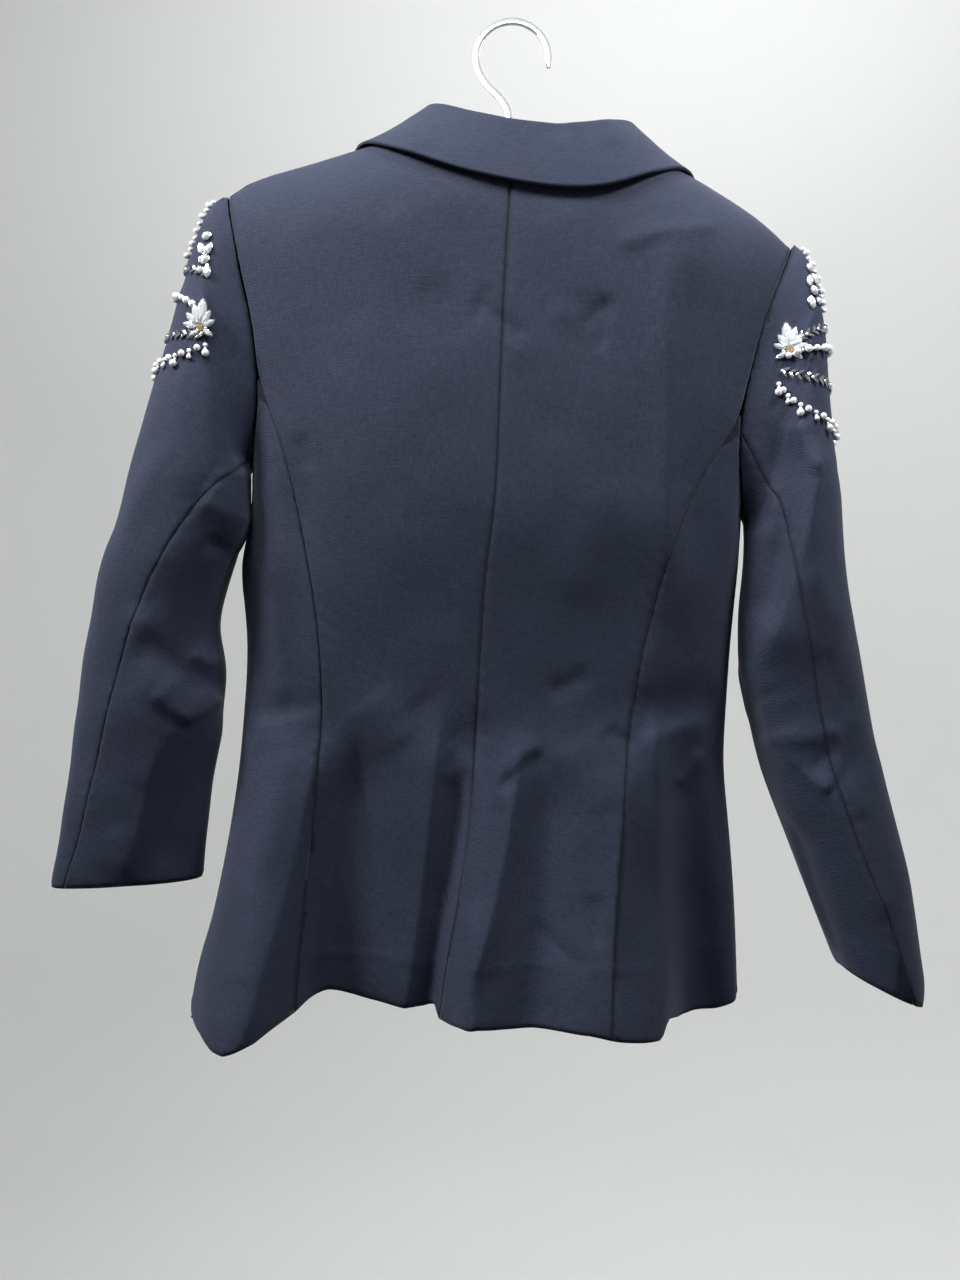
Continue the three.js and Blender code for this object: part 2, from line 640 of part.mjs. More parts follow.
function sideBackPanel(side) {
  const armSeam = armhole[side];
  const table = side === "left" ? ARMHOLE_LEFT : ARMHOLE_RIGHT;
  const seamTop = side === "left" ? PRINCESS_LEFT[0].z : PRINCESS_RIGHT[0].z;
  const bottom = table[table.length - 1].z;
  const sideAngle = side === "left" ? 0 : 180;
  const grid = panelGrid({
    across: evenFractions(6),
    down: sideRows(side, seamTop),
    edgeA: () => sideAngle,
    edgeB: (z) => angleAt(princess[side](z).x, z, true),
    top: (s) => {
      const z = mix(bottom, seamTop, s);
      const angle = s === 0 ? sideAngle : angleAt(armSeam(z).x, z, true);
      return { z, angle };
    },
    hem: (s) => backHem(mix(SIDE_HEM[side], princess[side](FLARE_HEM).x, s)).z,
  });
  return cloth(trimEdges(grid, SEAM_GAP / 2), BODY_WALL, bodyAway, bodyNormals(grid, true));
}

// The closing edge: upright below the break, and the roll line up to the neck point above it
function rollX(side, z) {
  const towards = side === "left" ? 1 : -1;
  const low = closingX(Math.min(z, CLOSING.breakZ)) + towards * CLOSING.overlap;
  if (z <= CLOSING.breakZ) return low;
  const top = neckX[side];
  const neckZ = shoulderLine(top).z;
  const f = clamp((z - CLOSING.breakZ) / (neckZ - CLOSING.breakZ), 0, 1);
  return mix(low, top, f) - towards * CLOSING.bow * Math.sin(Math.PI * f);
}

// The right front passes over the left one at the closing
function overlapLift(side, x, z) {
  if (side === "left") return 0;
  const near = smooth((closingX(z) + OVERLAP_ZONE.reach - x) / OVERLAP_ZONE.fade);
  const low = smooth((OVERLAP_ZONE.startZ - z) / OVERLAP_ZONE.run);
  return (BODY_WALL + LAYER_GAP) * near * low;
}

function frontPoint(side, x, z) {
  const angle = angleAt(x, z, false);
  const p = bodyPoint(angle, z);
  p.y += overlapLift(side, x, z);
  return p;
}

function frontPanel(side) {
  const table = side === "left" ? ARMHOLE_LEFT : ARMHOLE_RIGHT;
  const start = table[0];
  const bottom = table[table.length - 1].z;
  const sideX = (z) => (side === "left" ? bodyLevel(z).left : bodyLevel(z).right);
  const outer = (z) => {
    if (z <= bottom) return side === "left" ? 0 : -180;
    return angleAt(armhole[side](z).x, z, false);
  };
  const grid = panelGrid({
    across: evenFractions(11),
    down: rowFractions(4, 17, 580),
    edgeA: outer,
    edgeB: (z) => angleAt(rollX(side, z), z, false),
    top: (s) => {
      const x = mix(start.x, neckX[side], s);
      const z = shoulderLine(x).z - 0.02;
      return { z, angle: angleAt(x, z, false) };
    },
    hem: (s) => frontHem(mix(sideX(FLARE_HEM), rollX(side, FLARE_HEM), s)).z,
  });
  const normals = bodyNormals(grid, false);
  grid.forEach((row) => row.forEach((p) => { p.y += overlapLift(side, p.x, p.z); }));
  return cloth(trimEdges(grid, SEAM_GAP / 2), BODY_WALL, bodyAway, normals);
}

function lapel(side) {
  const towards = side === "left" ? -1 : 1;
  const top = LAPEL_WIDTH[0].z;
  const low = side === "left" ? LAPEL_TUCK : LAPEL_WIDTH[LAPEL_WIDTH.length - 1].z;
  const grid = evenFractions(14).map((f) => {
    const z = mix(top, low, f);
    const width = lapelAt(z).width;
    return evenFractions(5).map((s) => {
      const x = rollX(side, z) + towards * (1 + s * width);
      const slant = (1 - f) ** 3 * s * 9;
      return frontPoint(side, x, z + slant);
    });
  });
  const lift = LAYER_GAP + LAPEL_WALL;
  const raised = liftGrid(grid, lift);
  return cloth(raised, LAPEL_WALL, bodyAway, gridNormals(raised));
}

function liftGrid(grid, lift) {
  const normals = gridNormals(grid);
  const sign = Math.sign(normals[3][2].dot(bodyAway(grid[3][2])));
  return grid.map((row, i) => row.map((p, j) => p.clone().addScaledVector(normals[i][j], sign * lift)));
}

// Collar
function neckSeam(place) {
  if (place >= 0 && place <= 1) {
    const round = Math.PI * place;
    const x = NECK.centre - NECK.half * Math.cos(round);
    const turn = -NECK.backTurn * Math.sin(round);
    const inward = new THREE.Vector3(Math.cos(round), Math.sin(round), 0);
    return { x, turn, point: overShoulder(x, turn), inward };
  }
  const side = place < 0 ? "left" : "right";
  const reach = place < 0 ? -place : place - 1;
  const turn = GORGE_REACH * reach ** 0.8;
  const z = shoulderLine(neckX[side]).z - SHOULDER_TURN * (1 - Math.cos(radians(turn)));
  const x = rollX(side, z);
  const towards = side === "left" ? 1 : -1;
  const point = overShoulder(x, turn);
  const inward = new THREE.Vector3(towards * (1 - 0.1 * reach), -0.2 * reach, 0).normalize();
  return { x, turn, point, inward };
}

function collarSection(place) {
  const row = collarAt(place);
  const seam = neckSeam(place);
  const up = new THREE.Vector3(0, 0, 1);
  const front = place < 0 ? -place : Math.max(0, place - 1);
  const outward = surfaceNormal(seam.x, seam.turn);
  const rise = up.clone().lerp(outward, smooth(front)).normalize();
  const foot = seam.point.clone().addScaledVector(seam.inward, 1.2).addScaledVector(rise, 0.5);
  const lean = seam.inward.clone().multiplyScalar(0.12);
  const stand = rise.clone().add(lean).normalize();
  const height = row.rise - COLLAR_FOLD;
  const points = [0, 0.5, 1].map((f) => foot.clone().addScaledVector(stand, height * f));
  const away = seam.inward.clone().negate();
  const head = points[2].clone().addScaledVector(away, COLLAR_FOLD);
  for (const turn of [135, 90, 45]) {
    const p = head.clone().addScaledVector(away, -COLLAR_FOLD * Math.cos(radians(180 - turn)));
    points.push(p.addScaledVector(rise, COLLAR_FOLD * Math.sin(radians(turn))));
  }
  const fallTop = head.clone().addScaledVector(away, COLLAR_FOLD);
  const base = overShoulder(seam.x, seam.turn);
  const start = fallTop.clone().sub(base);
  for (const f of [0.08, 0.25, 0.42, 0.6, 0.8, 1]) {
    const x = mix(seam.x, row.edgeX, f);
    const turn = mix(seam.turn, row.edgeTurn, f);
    const surface = overShoulder(x, turn);
    const normal = surfaceNormal(x, turn);
    const rest = normal.multiplyScalar(row.lift);
    const hold = (1 - f) ** 1.6;
    points.push(surface.add(start.clone().multiplyScalar(hold)).addScaledVector(rest, 1 - hold));
  }
  return points;
}

function surfaceNormal(x, turn) {
  const across = overShoulder(x + 2, turn).sub(overShoulder(x - 2, turn));
  const over = overShoulder(x, turn + 3).sub(overShoulder(x, turn - 3));
  const normal = across.cross(over).normalize();
  const away = overShoulder(x, turn).sub(new THREE.Vector3(x, 0, -260));
  return normal.dot(away) < 0 ? normal.negate() : normal;
}

function collar() {
  const places = [];
  for (let i = 0; i <= 4; i += 1) places.push(-1 + i / 5);
  for (let i = 0; i <= 14; i += 1) places.push(i / 14);
  for (let i = 1; i <= 5; i += 1) places.push(1 + i / 5);
  const centre = places.map(collarSection);
  const normals = gridNormals(centre);
  const half = COLLAR_WALL / 2;
  const shifted = (by) => centre.map((row, i) =>
    row.map((p, j) => p.clone().addScaledVector(normals[i][j], by)));
  return wallSolid(shifted(half), shifted(-half));
}

// Sleeves
function sleeveSurface(side) {
  const table = side === "left" ? SLEEVE_LEFT : SLEEVE_RIGHT;
  const creases = side === "left" ? CREASES_LEFT : CREASES_RIGHT;
  const rows = curve(table.map((row, ring) => ({ ring, ...row })), "ring");
  const seamX = armhole[side];
  const away = side === "left" ? -1 : 1;
  const ringPoint = (angle, ring) => {
    const row = rows(ring);
    const turn = radians(angle);
    const across = Math.cos(turn);
    const sine = Math.sin(turn);
    const depth = (sine >= 0 ? row.back : row.front) * (1 + 0.25 * (1 - Math.abs(sine)));
    const pressed = Math.exp(-(((ring - SLEEVE_PRESS.ring) / SLEEVE_PRESS.reach) ** 2));
    const inner = ((1 - across) / 2) ** 2;
    return new THREE.Vector3(
      mix(row.inX, row.outX, (1 + across) / 2),
      -sine * depth - SLEEVE_PRESS.shift * pressed * inner,
      mix(row.inZ, row.outZ, (1 + across) / 2),
    );
  };
  const armholePoint = (angle) => {
    const row = table[0];
    const z = mix(row.inZ, row.outZ, (1 + Math.cos(radians(angle))) / 2);
    const x = seamX(z).x;
    const atEnd = Math.abs(Math.sin(radians(angle))) < 1e-6;
    if (atEnd) return new THREE.Vector3(x, 0, z);
    return bodyPoint(angleAt(x, z, Math.sin(radians(angle)) > 0), z);
  };
  const point = (angle, ring) => {
    const p = ringPoint(angle, ring);
    const hold = 1 - smooth(ring / CAP_RINGS);
    p.add(armholePoint(angle).sub(ringPoint(angle, 0)).multiplyScalar(hold));
    p.x += away * SEAM_GAP;
    const row = rows(ring);
    const middle = new THREE.Vector3((row.inX + row.outX) / 2, 0, (row.inZ + row.outZ) / 2);
    const inward = middle.sub(p).normalize();
    for (const c of creases) {
      const da = (angle - c.angle) / c.angleReach;
      const dr = (ring - c.ring) / c.ringReach;
      p.addScaledVector(inward, c.depth * Math.exp(-da * da - dr * dr));
    }
    return p;
  };
  const centreOf = (ring) => {
    const row = rows(ring);
    return new THREE.Vector3((row.inX + row.outX) / 2, 0, (row.inZ + row.outZ) / 2);
  };
  const seamAngle = (ring) => rows(ring).seam;
  const normal = (angle, ring) => {
    const across = point(angle + 1.5, ring).sub(point(angle - 1.5, ring));
    const high = Math.max(ring - 0.06, 0);
    const down = point(angle, Math.min(ring + 0.06, table.length - 1)).sub(point(angle, high));
    return across.cross(down).normalize();
  };
  return { point, normal, centreOf, seamAngle, last: table.length - 1 };
}

function sleeveRows(surface) {
  const rows = [...TOP_SLEEVE_ROWS];
  for (let i = 0; i < LOWER_ROWS; i += 1) {
    const ring = mix(LOWER_START, surface.last, i / (LOWER_ROWS - 1));
    rows.push({ side: ring, out: ring, raised: 0 });
  }
  return rows;
}

function topSleeve(side) {
  const surface = sleeveSurface(side);
  const rows = sleeveRows(surface);
  const start = FRONT_SEAM_ANGLE - 360;
  const across = evenFractions(20);
  const places = rows.map((row) => across.map((s) => {
    const guess = mix(start, 110, s);
    const scallop = Math.cos(radians(clamp(Math.abs(guess) / BEAD_REACH, 0, 1) * 90)) ** 2;
    const ring = mix(row.side, row.out, scallop);
    const end = surface.seamAngle(ring);
    const angle = mix(start, end, s);
    return { angle, ring, raised: row.raised };
  }));
  const grid = places.map((row) => row.map(({ angle, ring }) => surface.point(angle, ring)));
  const lift = (i, j) => {
    const { angle, ring, raised } = places[i][j];
    const edge = 1 - smooth((Math.abs(angle) - BEAD_REACH + 12) / 12);
    const swag = raised * SWAG_HEIGHT * edge;
    const da = (Math.abs(angle) - FLOWER.angle) / FLOWER.angleReach;
    const dr = (ring - FLOWER.ring) / FLOWER.ringReach;
    return Math.max(swag, FLOWER.height * Math.exp(-da * da - dr * dr));
  };
  const normals = places.map((row) => row.map(({ angle, ring }) => surface.normal(angle, ring)));
  const away = (p, i) => p.clone().sub(surface.centreOf(rows[i].side));
  return cloth(trimEdges(grid, SEAM_GAP / 2), SLEEVE_WALL, away, normals, lift);
}

function underSleeve(side) {
  const surface = sleeveSurface(side);
  const rings = sleeveRows(surface).map((row) => row.side);
  const places = rings.map((ring) => evenFractions(8).map((s) =>
    ({ angle: mix(surface.seamAngle(ring), FRONT_SEAM_ANGLE, s), ring })));
  const grid = places.map((row) => row.map(({ angle, ring }) => surface.point(angle, ring)));
  const normals = places.map((row) => row.map(({ angle, ring }) => surface.normal(angle, ring)));
  const away = (p, i) => p.clone().sub(surface.centreOf(rings[i]));
  return cloth(trimEdges(grid, SEAM_GAP / 2), SLEEVE_WALL, away, normals);
}

// Hanger: arms follow the shoulders from inside, with the hook rising from their middle
function solidOf(geometry) {
  const plain = new THREE.BufferGeometry();
  plain.setAttribute("position", geometry.getAttribute("position"));
  plain.setIndex(geometry.getIndex());
  return new wasm.Manifold(new wasm.Mesh({
    numProp: 3,
    vertProperties: new Float32Array(plain.getAttribute("position").array),
    triVerts: new Uint32Array(plain.getIndex().array),
  }));
}

function geometryOf(solid) {
  const mesh = solid.getMesh();
  const geometry = new THREE.BufferGeometry();
  geometry.setAttribute("position", new THREE.Float32BufferAttribute(mesh.vertProperties, 3));
  geometry.setIndex([...mesh.triVerts]);
  geometry.computeVertexNormals();
  return geometry;
}

// A closed bar through rings of points
function barGeometry(rings) {
  const sides = rings[0].length;
  const positions = [];
  for (const ring of rings) for (const p of ring) positions.push(p.x, p.y, p.z);
  const faces = [];
  for (let i = 0; i < rings.length - 1; i += 1) {
    for (let k = 0; k < sides; k += 1) {
      const next = (k + 1) % sides;
      const a = i * sides + k;
      const b = i * sides + next;
      const c = (i + 1) * sides + next;
      const d = (i + 1) * sides + k;
      faces.push(a, b, c, a, c, d);
    }
  }
  const last = (rings.length - 1) * sides;
  for (let k = 1; k < sides - 1; k += 1) {
    faces.push(0, k + 1, k);
    faces.push(last, last + k, last + k + 1);
  }
  return closedGeometry(positions, faces);
}

function armTop(x) {
  const inNeck = smooth(1 - Math.abs((x - ARM.neckX) / (x < ARM.neckX ? 52 : 80)));
  const slope = (shoulderLine(x + 2).z - shoulderLine(x - 2).z) / 4;
  const under = shoulderLine(x).z - (BODY_WALL + ARM.clear) * Math.hypot(1, slope);
  return mix(under, ARM.neckZ, inNeck);
}

function ring(centre, along, width, height, count) {
  const side = new THREE.Vector3(0, 1, 0);
  const up = side.clone().cross(along).normalize();
  return Array.from({ length: count }, (_, k) => {
    const turn = ((k + 0.5) / count) * Math.PI * 2;
    return centre.clone()
      .addScaledVector(side, (width / 2) * Math.cos(turn))
      .addScaledVector(up, (height / 2) * Math.sin(turn));
  });
}

function hanger() {
  const stations = evenFractions(28).map((f) => mix(ARM.leftX, ARM.rightX, f));
  const centre = stations.map((x) => new THREE.Vector3(x, 0, armTop(x) - ARM.height / 2));
  const arms = barGeometry(centre.map((p, i) => {
    const before = centre[Math.max(0, i - 1)];
    const after = centre[Math.min(centre.length - 1, i + 1)];
    const narrow = i === 0 || i === centre.length - 1 ? 0.55 : 1;
    return ring(p, after.clone().sub(before).normalize(), ARM.width * narrow, ARM.height * narrow, 8);
  }));
  const path = HOOK_STEM.map(({ x, z }) => new THREE.Vector3(x, 0, z));
  for (let k = 0; k <= 12; k += 1) {
    const turn = radians(180 - k * 15);
    path.push(new THREE.Vector3(
      HOOK.radius * Math.cos(turn), 0, HOOK.centreZ + HOOK.radius * Math.sin(turn)));
  }
  path.push(new THREE.Vector3(HOOK.radius, 0, HOOK.centreZ - HOOK.tip));
  const line = new THREE.CatmullRomCurve3(path);
  const steps = evenFractions(34);
  const hook = barGeometry(steps.map((f) => {
    const end = f > 0.999 ? 0.6 : 1;
    return ring(line.getPointAt(f), line.getTangentAt(f), HOOK.wire * end, HOOK.wire * end, 8);
  }));
  return geometryOf(solidOf(arms).add(solidOf(hook)));
}

// Button, sewn on the right front at the waist
function button() {
  const { radius, thickness, rim, ledge, bevel, dish } = BUTTON;
  const profile = [
    new THREE.Vector2(0, 0),
    new THREE.Vector2(radius - rim, 0),
    new THREE.Vector2(radius, rim),
    new THREE.Vector2(radius, thickness - rim),
    new THREE.Vector2(radius - rim, thickness),
    new THREE.Vector2(radius - ledge, thickness),
    new THREE.Vector2(radius - ledge - bevel, thickness - dish),
    new THREE.Vector2(0, thickness - dish),
  ];
  return new THREE.LatheGeometry(profile, 24);
}

// Colours from the cloth under soft light, the clear plastic and the dark button
const material = (color, roughness) => new THREE.MeshStandardMaterial({ color, roughness, metalness: 0 });
const suiting = material(0x252a36, 0.85);
const clearPlastic = material(0xdfe5e8, 0.15);
const darkHorn = material(0x15161b, 0.35);

const blazer = new THREE.Group();
blazer.position.z = -TABLE_ZERO;

function place(name, geometry, finish) {
  const mesh = new THREE.Mesh(geometry, finish);
  mesh.name = name;
  blazer.add(mesh);
  return mesh;
}

for (const side of ["left", "right"]) {
  place(`back_${side}`, backPanel(side), suiting);
  place(`side_back_${side}`, sideBackPanel(side), suiting);
  place(`front_${side}`, frontPanel(side), suiting);
  place(`lapel_${side}`, lapel(side), suiting);
  place(`top_sleeve_${side}`, topSleeve(side), suiting);
  place(`under_sleeve_${side}`, underSleeve(side), suiting);
}
place("collar", collar(), suiting);
place("hanger", hanger(), clearPlastic);

const buttonX = closingX(CLOSING.buttonZ);
const buttonSeat = frontPoint("right", buttonX, CLOSING.buttonZ);
const disc = place("button", button(), darkHorn);
const slopeAt = frontPoint("right", buttonX, CLOSING.buttonZ + 8).y - buttonSeat.y;
disc.rotation.x = -Math.atan2(slopeAt, 8);
disc.position.set(buttonX, buttonSeat.y + BUTTON.shank, CLOSING.buttonZ);

const object = new THREE.Group();
object.add(blazer);

export default object;
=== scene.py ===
import math
import random

import bmesh
import bpy
import numpy as np
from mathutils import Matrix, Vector
from mathutils.bvhtree import BVHTree
from mathutils.kdtree import KDTree


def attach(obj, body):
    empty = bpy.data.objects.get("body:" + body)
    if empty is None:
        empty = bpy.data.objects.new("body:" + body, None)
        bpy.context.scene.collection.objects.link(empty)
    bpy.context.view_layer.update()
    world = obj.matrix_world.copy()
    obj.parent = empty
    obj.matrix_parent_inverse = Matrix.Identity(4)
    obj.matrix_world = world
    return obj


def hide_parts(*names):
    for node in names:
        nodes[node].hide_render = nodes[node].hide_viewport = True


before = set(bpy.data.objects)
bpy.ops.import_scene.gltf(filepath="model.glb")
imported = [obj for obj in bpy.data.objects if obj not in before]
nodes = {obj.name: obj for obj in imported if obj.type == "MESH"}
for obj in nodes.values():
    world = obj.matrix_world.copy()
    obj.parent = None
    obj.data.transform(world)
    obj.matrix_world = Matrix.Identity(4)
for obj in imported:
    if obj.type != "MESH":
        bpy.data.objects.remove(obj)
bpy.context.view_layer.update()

MM = 0.001
SIDES = ("left", "right")

# Camera, in line with the photograph
CAMERA_PLACE = (-22.4, -900, -430.5)
CAMERA_LENS = 36 * 900 / 896

camera_data = bpy.data.cameras.new("camera")
camera_data.sensor_width = 36
camera_data.lens = CAMERA_LENS
camera_data.clip_start = 0.01
camera_data.clip_end = 50
camera = bpy.data.objects.new("camera", camera_data)
camera.location = Vector(CAMERA_PLACE) * MM
camera.rotation_euler = (math.radians(90), 0, 0)
bpy.context.scene.collection.objects.link(camera)
bpy.context.scene.camera = camera

# Creases. Each row runs from (x1, z1) to (x2, z2). width is its half width, out how far it stands
# proud (negative for a hollow), bow how far its middle curves sideways, lean from -1 to 1 makes one
# flank steeper than the other, and edge is 2 for a round fold and near 1 for a sharp one
BACK_CREASES = [
    # x1, z1, x2, z2, width, out, bow, lean, edge
    # upper back
    (70, -171, 97, -161, 6, 1.7, 0, -0.3, 1.5),
    (97, -161, 132, -155, 6, 1.5, 1, -0.2, 1.6),
    (100, -176, 101, -376, 11, 3.0, 2, 0.7, 1.15),
    (122, -186, 118, -372, 13, -3.4, 2, -0.3, 2),
    (-22, -208, 6, -231, 6, -1.4, 2, 0.3, 1.4),
    (-19, -198, -24, -222, 5, -0.8, 1, 0, 2),
    (42, -224, 62, -208, 5, -1.2, 1, 0, 1.4),
    (61, -208, 56, -240, 5, -1.2, -1, 0.3, 1.4),
    (28, -213, 46, -224, 7, 1.0, 0, 0, 2),
    (-142, -296, -137, -316, 6, -1.2, 0, 0, 2),
    (-80, -150, -52, -196, 14, 0.9, 2, 0, 2),
    (-130, -160, -104, -222, 15, -1.0, 3, 0.2, 2),
    (-44, -150, -30, -230, 16, -0.8, 2, 0, 2),
    (30, -150, 44, -205, 16, 0.9, 2, 0, 2),
    (8, -250, 26, -300, 12, -0.7, 3, 0, 2),
    (60, -330, 40, -400, 14, 0.8, 3, 0, 2),
    (-60, -340, -44, -420, 14, -0.8, 2, 0, 2),
    (-110, -250, -96, -330, 15, 0.7, 2, 0, 2),
    # left side above the waist
    (-167, -322, -161, -404, 9, 1.8, 2, -0.5, 1.4),
    (-161, -404, -156, -472, 9, 2.0, -1, -0.5, 1.4),
    (-179, -330, -173, -465, 9, -2.2, 1, 0.4, 2),
    # waist
    (-176, -490, -128, -481, 7, 1.6, 1, 0.2, 2),
    (-178, -500, -140, -494, 6, 0.9, 1, 0, 2),
    (-46, -523, -30, -509, 7, 1.3, 1, 0.3, 2),
    (-20, -497, -9, -539, 6, 1.2, 1, 0.4, 2),
    (-9, -529, 19, -506, 5.5, -2.2, -1, 0.5, 1.4),
    (-3, -520, 15, -500, 9, 1.5, 0, 0, 2),
    (25, -465, 49, -453, 7, -1.2, 1, 0, 2),
    (84, -502, 130, -486, 8, 1.8, -1, 0.2, 2),
    (84, -478, 138, -466, 14, -2.2, 0, 0, 2),
    (112, -528, 129, -508, 5, 1.8, 1, 0.3, 1.3),
    (62, -492, 84, -501, 5, -1.0, 0, 0, 2),
    (-96, -470, -76, -500, 16, 1.2, 0, 0, 2),
    (-64, -470, -40, -500, 14, -1.2, 2, 0, 2),
    (40, -500, 62, -540, 16, 1.2, 2, 0, 2),
    # skirt, left flare and the plane that falls away from it
    (-133, -506, -176, -690, 16, 8.6, -5, 0.6, 1.1),
    (-106, -516, -120, -694, 20, -6.0, -3, 0, 2),
    (-190, -560, -200, -672, 12, 1.8, 1, 0, 2),
    (-178, -604, -190, -668, 10, -1.8, 1, 0.2, 2),
    (-148, -500, -166, -580, 10, 1.4, 2, 0, 2),
    # skirt, facet that narrows downwards: hollow on its left, sharp edge on its right
    (-104, -500, -78, -640, 12, -2.6, 3, -0.5, 1.2),
    (-50, -488, -76, -694, 16, 7.0, -2, 0.8, 1.2),
    (-34, -530, -46, -698, 12, -5.0, 1, 0.2, 1.8),
    # skirt, fold right of the centre seam and the hollow beyond it
    (3, -508, -27, -650, 12, 5.6, -4, 0.6, 1.1),
    (-25, -610, -30, -694, 10, 4.0, 0, 0.6, 1.2),
    (26, -524, 12, -694, 20, -5.2, -3, -0.3, 2),
    (14, -618, 46, -645, 6, -1.6, 1, 0.4, 1.3),
    (52, -600, 55, -628, 6, -1.6, 0, 0, 1.4),
    (48, -566, 50, -672, 13, -1.5, 2, 0, 2),
    # skirt, sharp fold at the right and the dark side beyond it
    (95, -430, 94, -520, 8, 1.8, 1, 0.6, 1.2),
    (95, -496, 101, -696, 17, 9.0, 1, 0.85, 1.05),
    (119, -516, 124, -690, 14, -4.6, 1, 0, 2),
    (140, -530, 146, -680, 9, 1.6, 1, 0, 2),
]
FRONT_CREASES = [
    # x1, z1, x2, z2, width, out, bow, lean, edge
    (-17, -470, -90, -500, 6, 1.8, 3, 0.4, 1.3),
    (-20, -462, -104, -448, 7, -1.6, -4, 0.2, 2),
    (-10, -486, -60, -560, 7, -1.6, 3, 0.3, 2),
    (14, -470, 86, -504, 6, 1.8, -3, 0.4, 1.3),
    (20, -460, 100, -446, 7, -1.6, 4, 0.2, 2),
    (10, -490, 64, -562, 7, -1.5, -3, 0.3, 2),
    (-120, -300, -128, -430, 9, 1.6, 3, 0.4, 1.3),
    (112, -320, 118, -440, 9, 1.6, -3, -0.4, 1.3),
    (-150, -250, -126, -330, 8, -1.6, 3, 0.2, 2),
    (132, -270, 110, -346, 8, -1.6, -3, 0.2, 2),
    (-86, -500, -98, -660, 8, 2.0, 3, 0.4, 1.3),
    (-134, -520, -150, -668, 8, -1.8, 2, -0.3, 2),
    (74, -500, 88, -664, 8, 2.0, -3, -0.4, 1.3),
    (116, -520, 128, -662, 8, -1.8, -2, 0.3, 2),
    (-42, -560, -52, -670, 8, 1.4, 2, 0.2, 2),
    (34, -560, 42, -668, 8, -1.4, -2, 0.2, 2),
]
SLEEVE_LEFT_BACK = [
    # x1, z1, x2, z2, width, out, bow, lean, edge
    (-183, -312, -191, -378, 9, 4.6, 0, 0, 2),
    (-206, -338, -180, -352, 12, 3.0, 1, -0.6, 1.2),
    (-203, -364, -181, -380, 7, -4.0, 0, 0, 1.6),
    (-252, -412, -239, -466, 9, 3.0, -2, -0.5, 1.2),
    (-239, -466, -221, -485, 7, 3.4, 1, -0.7, 1.15),
    (-222, -485, -201, -472, 6, 3.4, 1, -0.6, 1.15),
    (-246, -430, -204, -462, 10, -3.0, 3, 0.2, 1.8),
    (-217, -440, -205, -448, 4, 2.4, 0, -0.4, 1.3),
    (-226, -488, -248, -530, 11, 3.0, 3, 0.6, 1.15),
    (-248, -530, -266, -588, 11, 2.4, -2, 0.6, 1.15),
    (-206, -500, -236, -580, 12, -3.0, 2, 0, 1.6),
    (-232, -302, -264, -372, 9, 1.0, 2, 0.2, 2),
    (-244, -296, -276, -360, 9, -1.2, 2, 0, 2),
    (-226, -250, -216, -330, 10, 1.2, 3, 0.2, 2),
    (-268, -560, -262, -596, 9, 1.3, 1, 0, 2),
    (-292, -500, -300, -580, 9, -1.1, 1, 0, 2),
]
SLEEVE_LEFT_FRONT = [
    # x1, z1, x2, z2, width, out, bow, lean, edge
    (-204, -372, -184, -366, 6, -2.4, 1, 0.4, 1.3),
    (-252, -420, -204, -446, 11, -3.0, 4, 0.2, 2),
    (-256, -450, -210, -468, 6, 2.0, -4, 0.4, 1.3),
    (-205, -490, -246, -570, 8, 2.0, 3, 0.4, 1.3),
    (-236, -300, -262, -380, 9, 1.2, 2, 0.2, 2),
    (-226, -420, -270, -404, 8, -1.6, 2, 0.2, 2),
    (-276, -500, -288, -580, 9, -1.2, 1, 0, 2),
]
SLEEVE_RIGHT_BACK = [
    # x1, z1, x2, z2, width, out, bow, lean, edge
    (160, -352, 157, -426, 9, 4.4, 0, 0, 2),
    (188, -286, 201, -318, 9, 4.0, 2, -0.7, 1.15),
    (201, -312, 171, -440, 14, 7.0, -3, -0.8, 1.1),
    (182, -296, 166, -420, 13, -6.5, 0, 0, 2),
    (166, -300, 176, -366, 6, 1.6, 0, 0.3, 1.6),
    (158, -450, 172, -466, 7, 2.4, 0, 0.2, 1.4),
    (171, -470, 178, -500, 6, 3.0, 0, -0.6, 1.15),
    (177, -496, 194, -518, 8, 4.2, 0, -0.8, 1.1),
    (194, -518, 210, -529, 8, 4.2, 1, -0.8, 1.1),
    (208, -526, 244, -607, 15, 6.0, 0, -0.8, 1.1),
    (242, -604, 268, -676, 13, 5.2, 0, -0.8, 1.1),
    (192, -560, 226, -640, 14, -3.0, 0, 0, 2),
    (184, -499, 215, -488, 6, 2.2, 2, -0.6, 1.2),
    (215, -489, 219, -519, 6, 2.0, 0, 0.6, 1.2),
    (200, -508, 206, -514, 10, -1.6, 0, 0, 2),
    (219, -519, 232, -545, 7, 1.8, 0, 0.4, 1.3),
    (196, -384, 222, -420, 10, 1.4, 3, 0.2, 2),
    (206, -440, 228, -478, 9, -1.6, 2, 0, 1.6),
    (204, -330, 214, -410, 10, -1.2, 2, 0, 2),
]
SLEEVE_RIGHT_FRONT = [
    # x1, z1, x2, z2, width, out, bow, lean, edge
    (168, -340, 176, -430, 10, -3.0, 3, 0.4, 1.3),
    (164, -452, 206, -476, 7, 2.2, -3, 0.4, 1.3),
    (170, -486, 212, -500, 6, -2.0, 2, 0.3, 2),
    (180, -510, 218, -600, 8, 2.0, 2, -0.4, 1.3),
    (200, -380, 222, -430, 10, 1.4, 3, 0.2, 2),
    (226, -540, 250, -620, 9, -1.4, 2, 0.2, 2),
]
COLLAR_CREASES = [
    # x1, z1, x2, z2, width, out, bow, lean, edge
    (-84, -62, -60, -104, 9, 1.4, 2, 0.3, 2),
    (36, -58, 30, -96, 8, -1.8, 2, 0.2, 2),
    (58, -60, 66, -100, 9, 1.5, -2, 0.2, 2),
    (-30, -60, -34, -100, 12, -1.0, 1, 0, 2),
    (96, -84, 104, -118, 8, -1.0, 0, 0, 2),
]

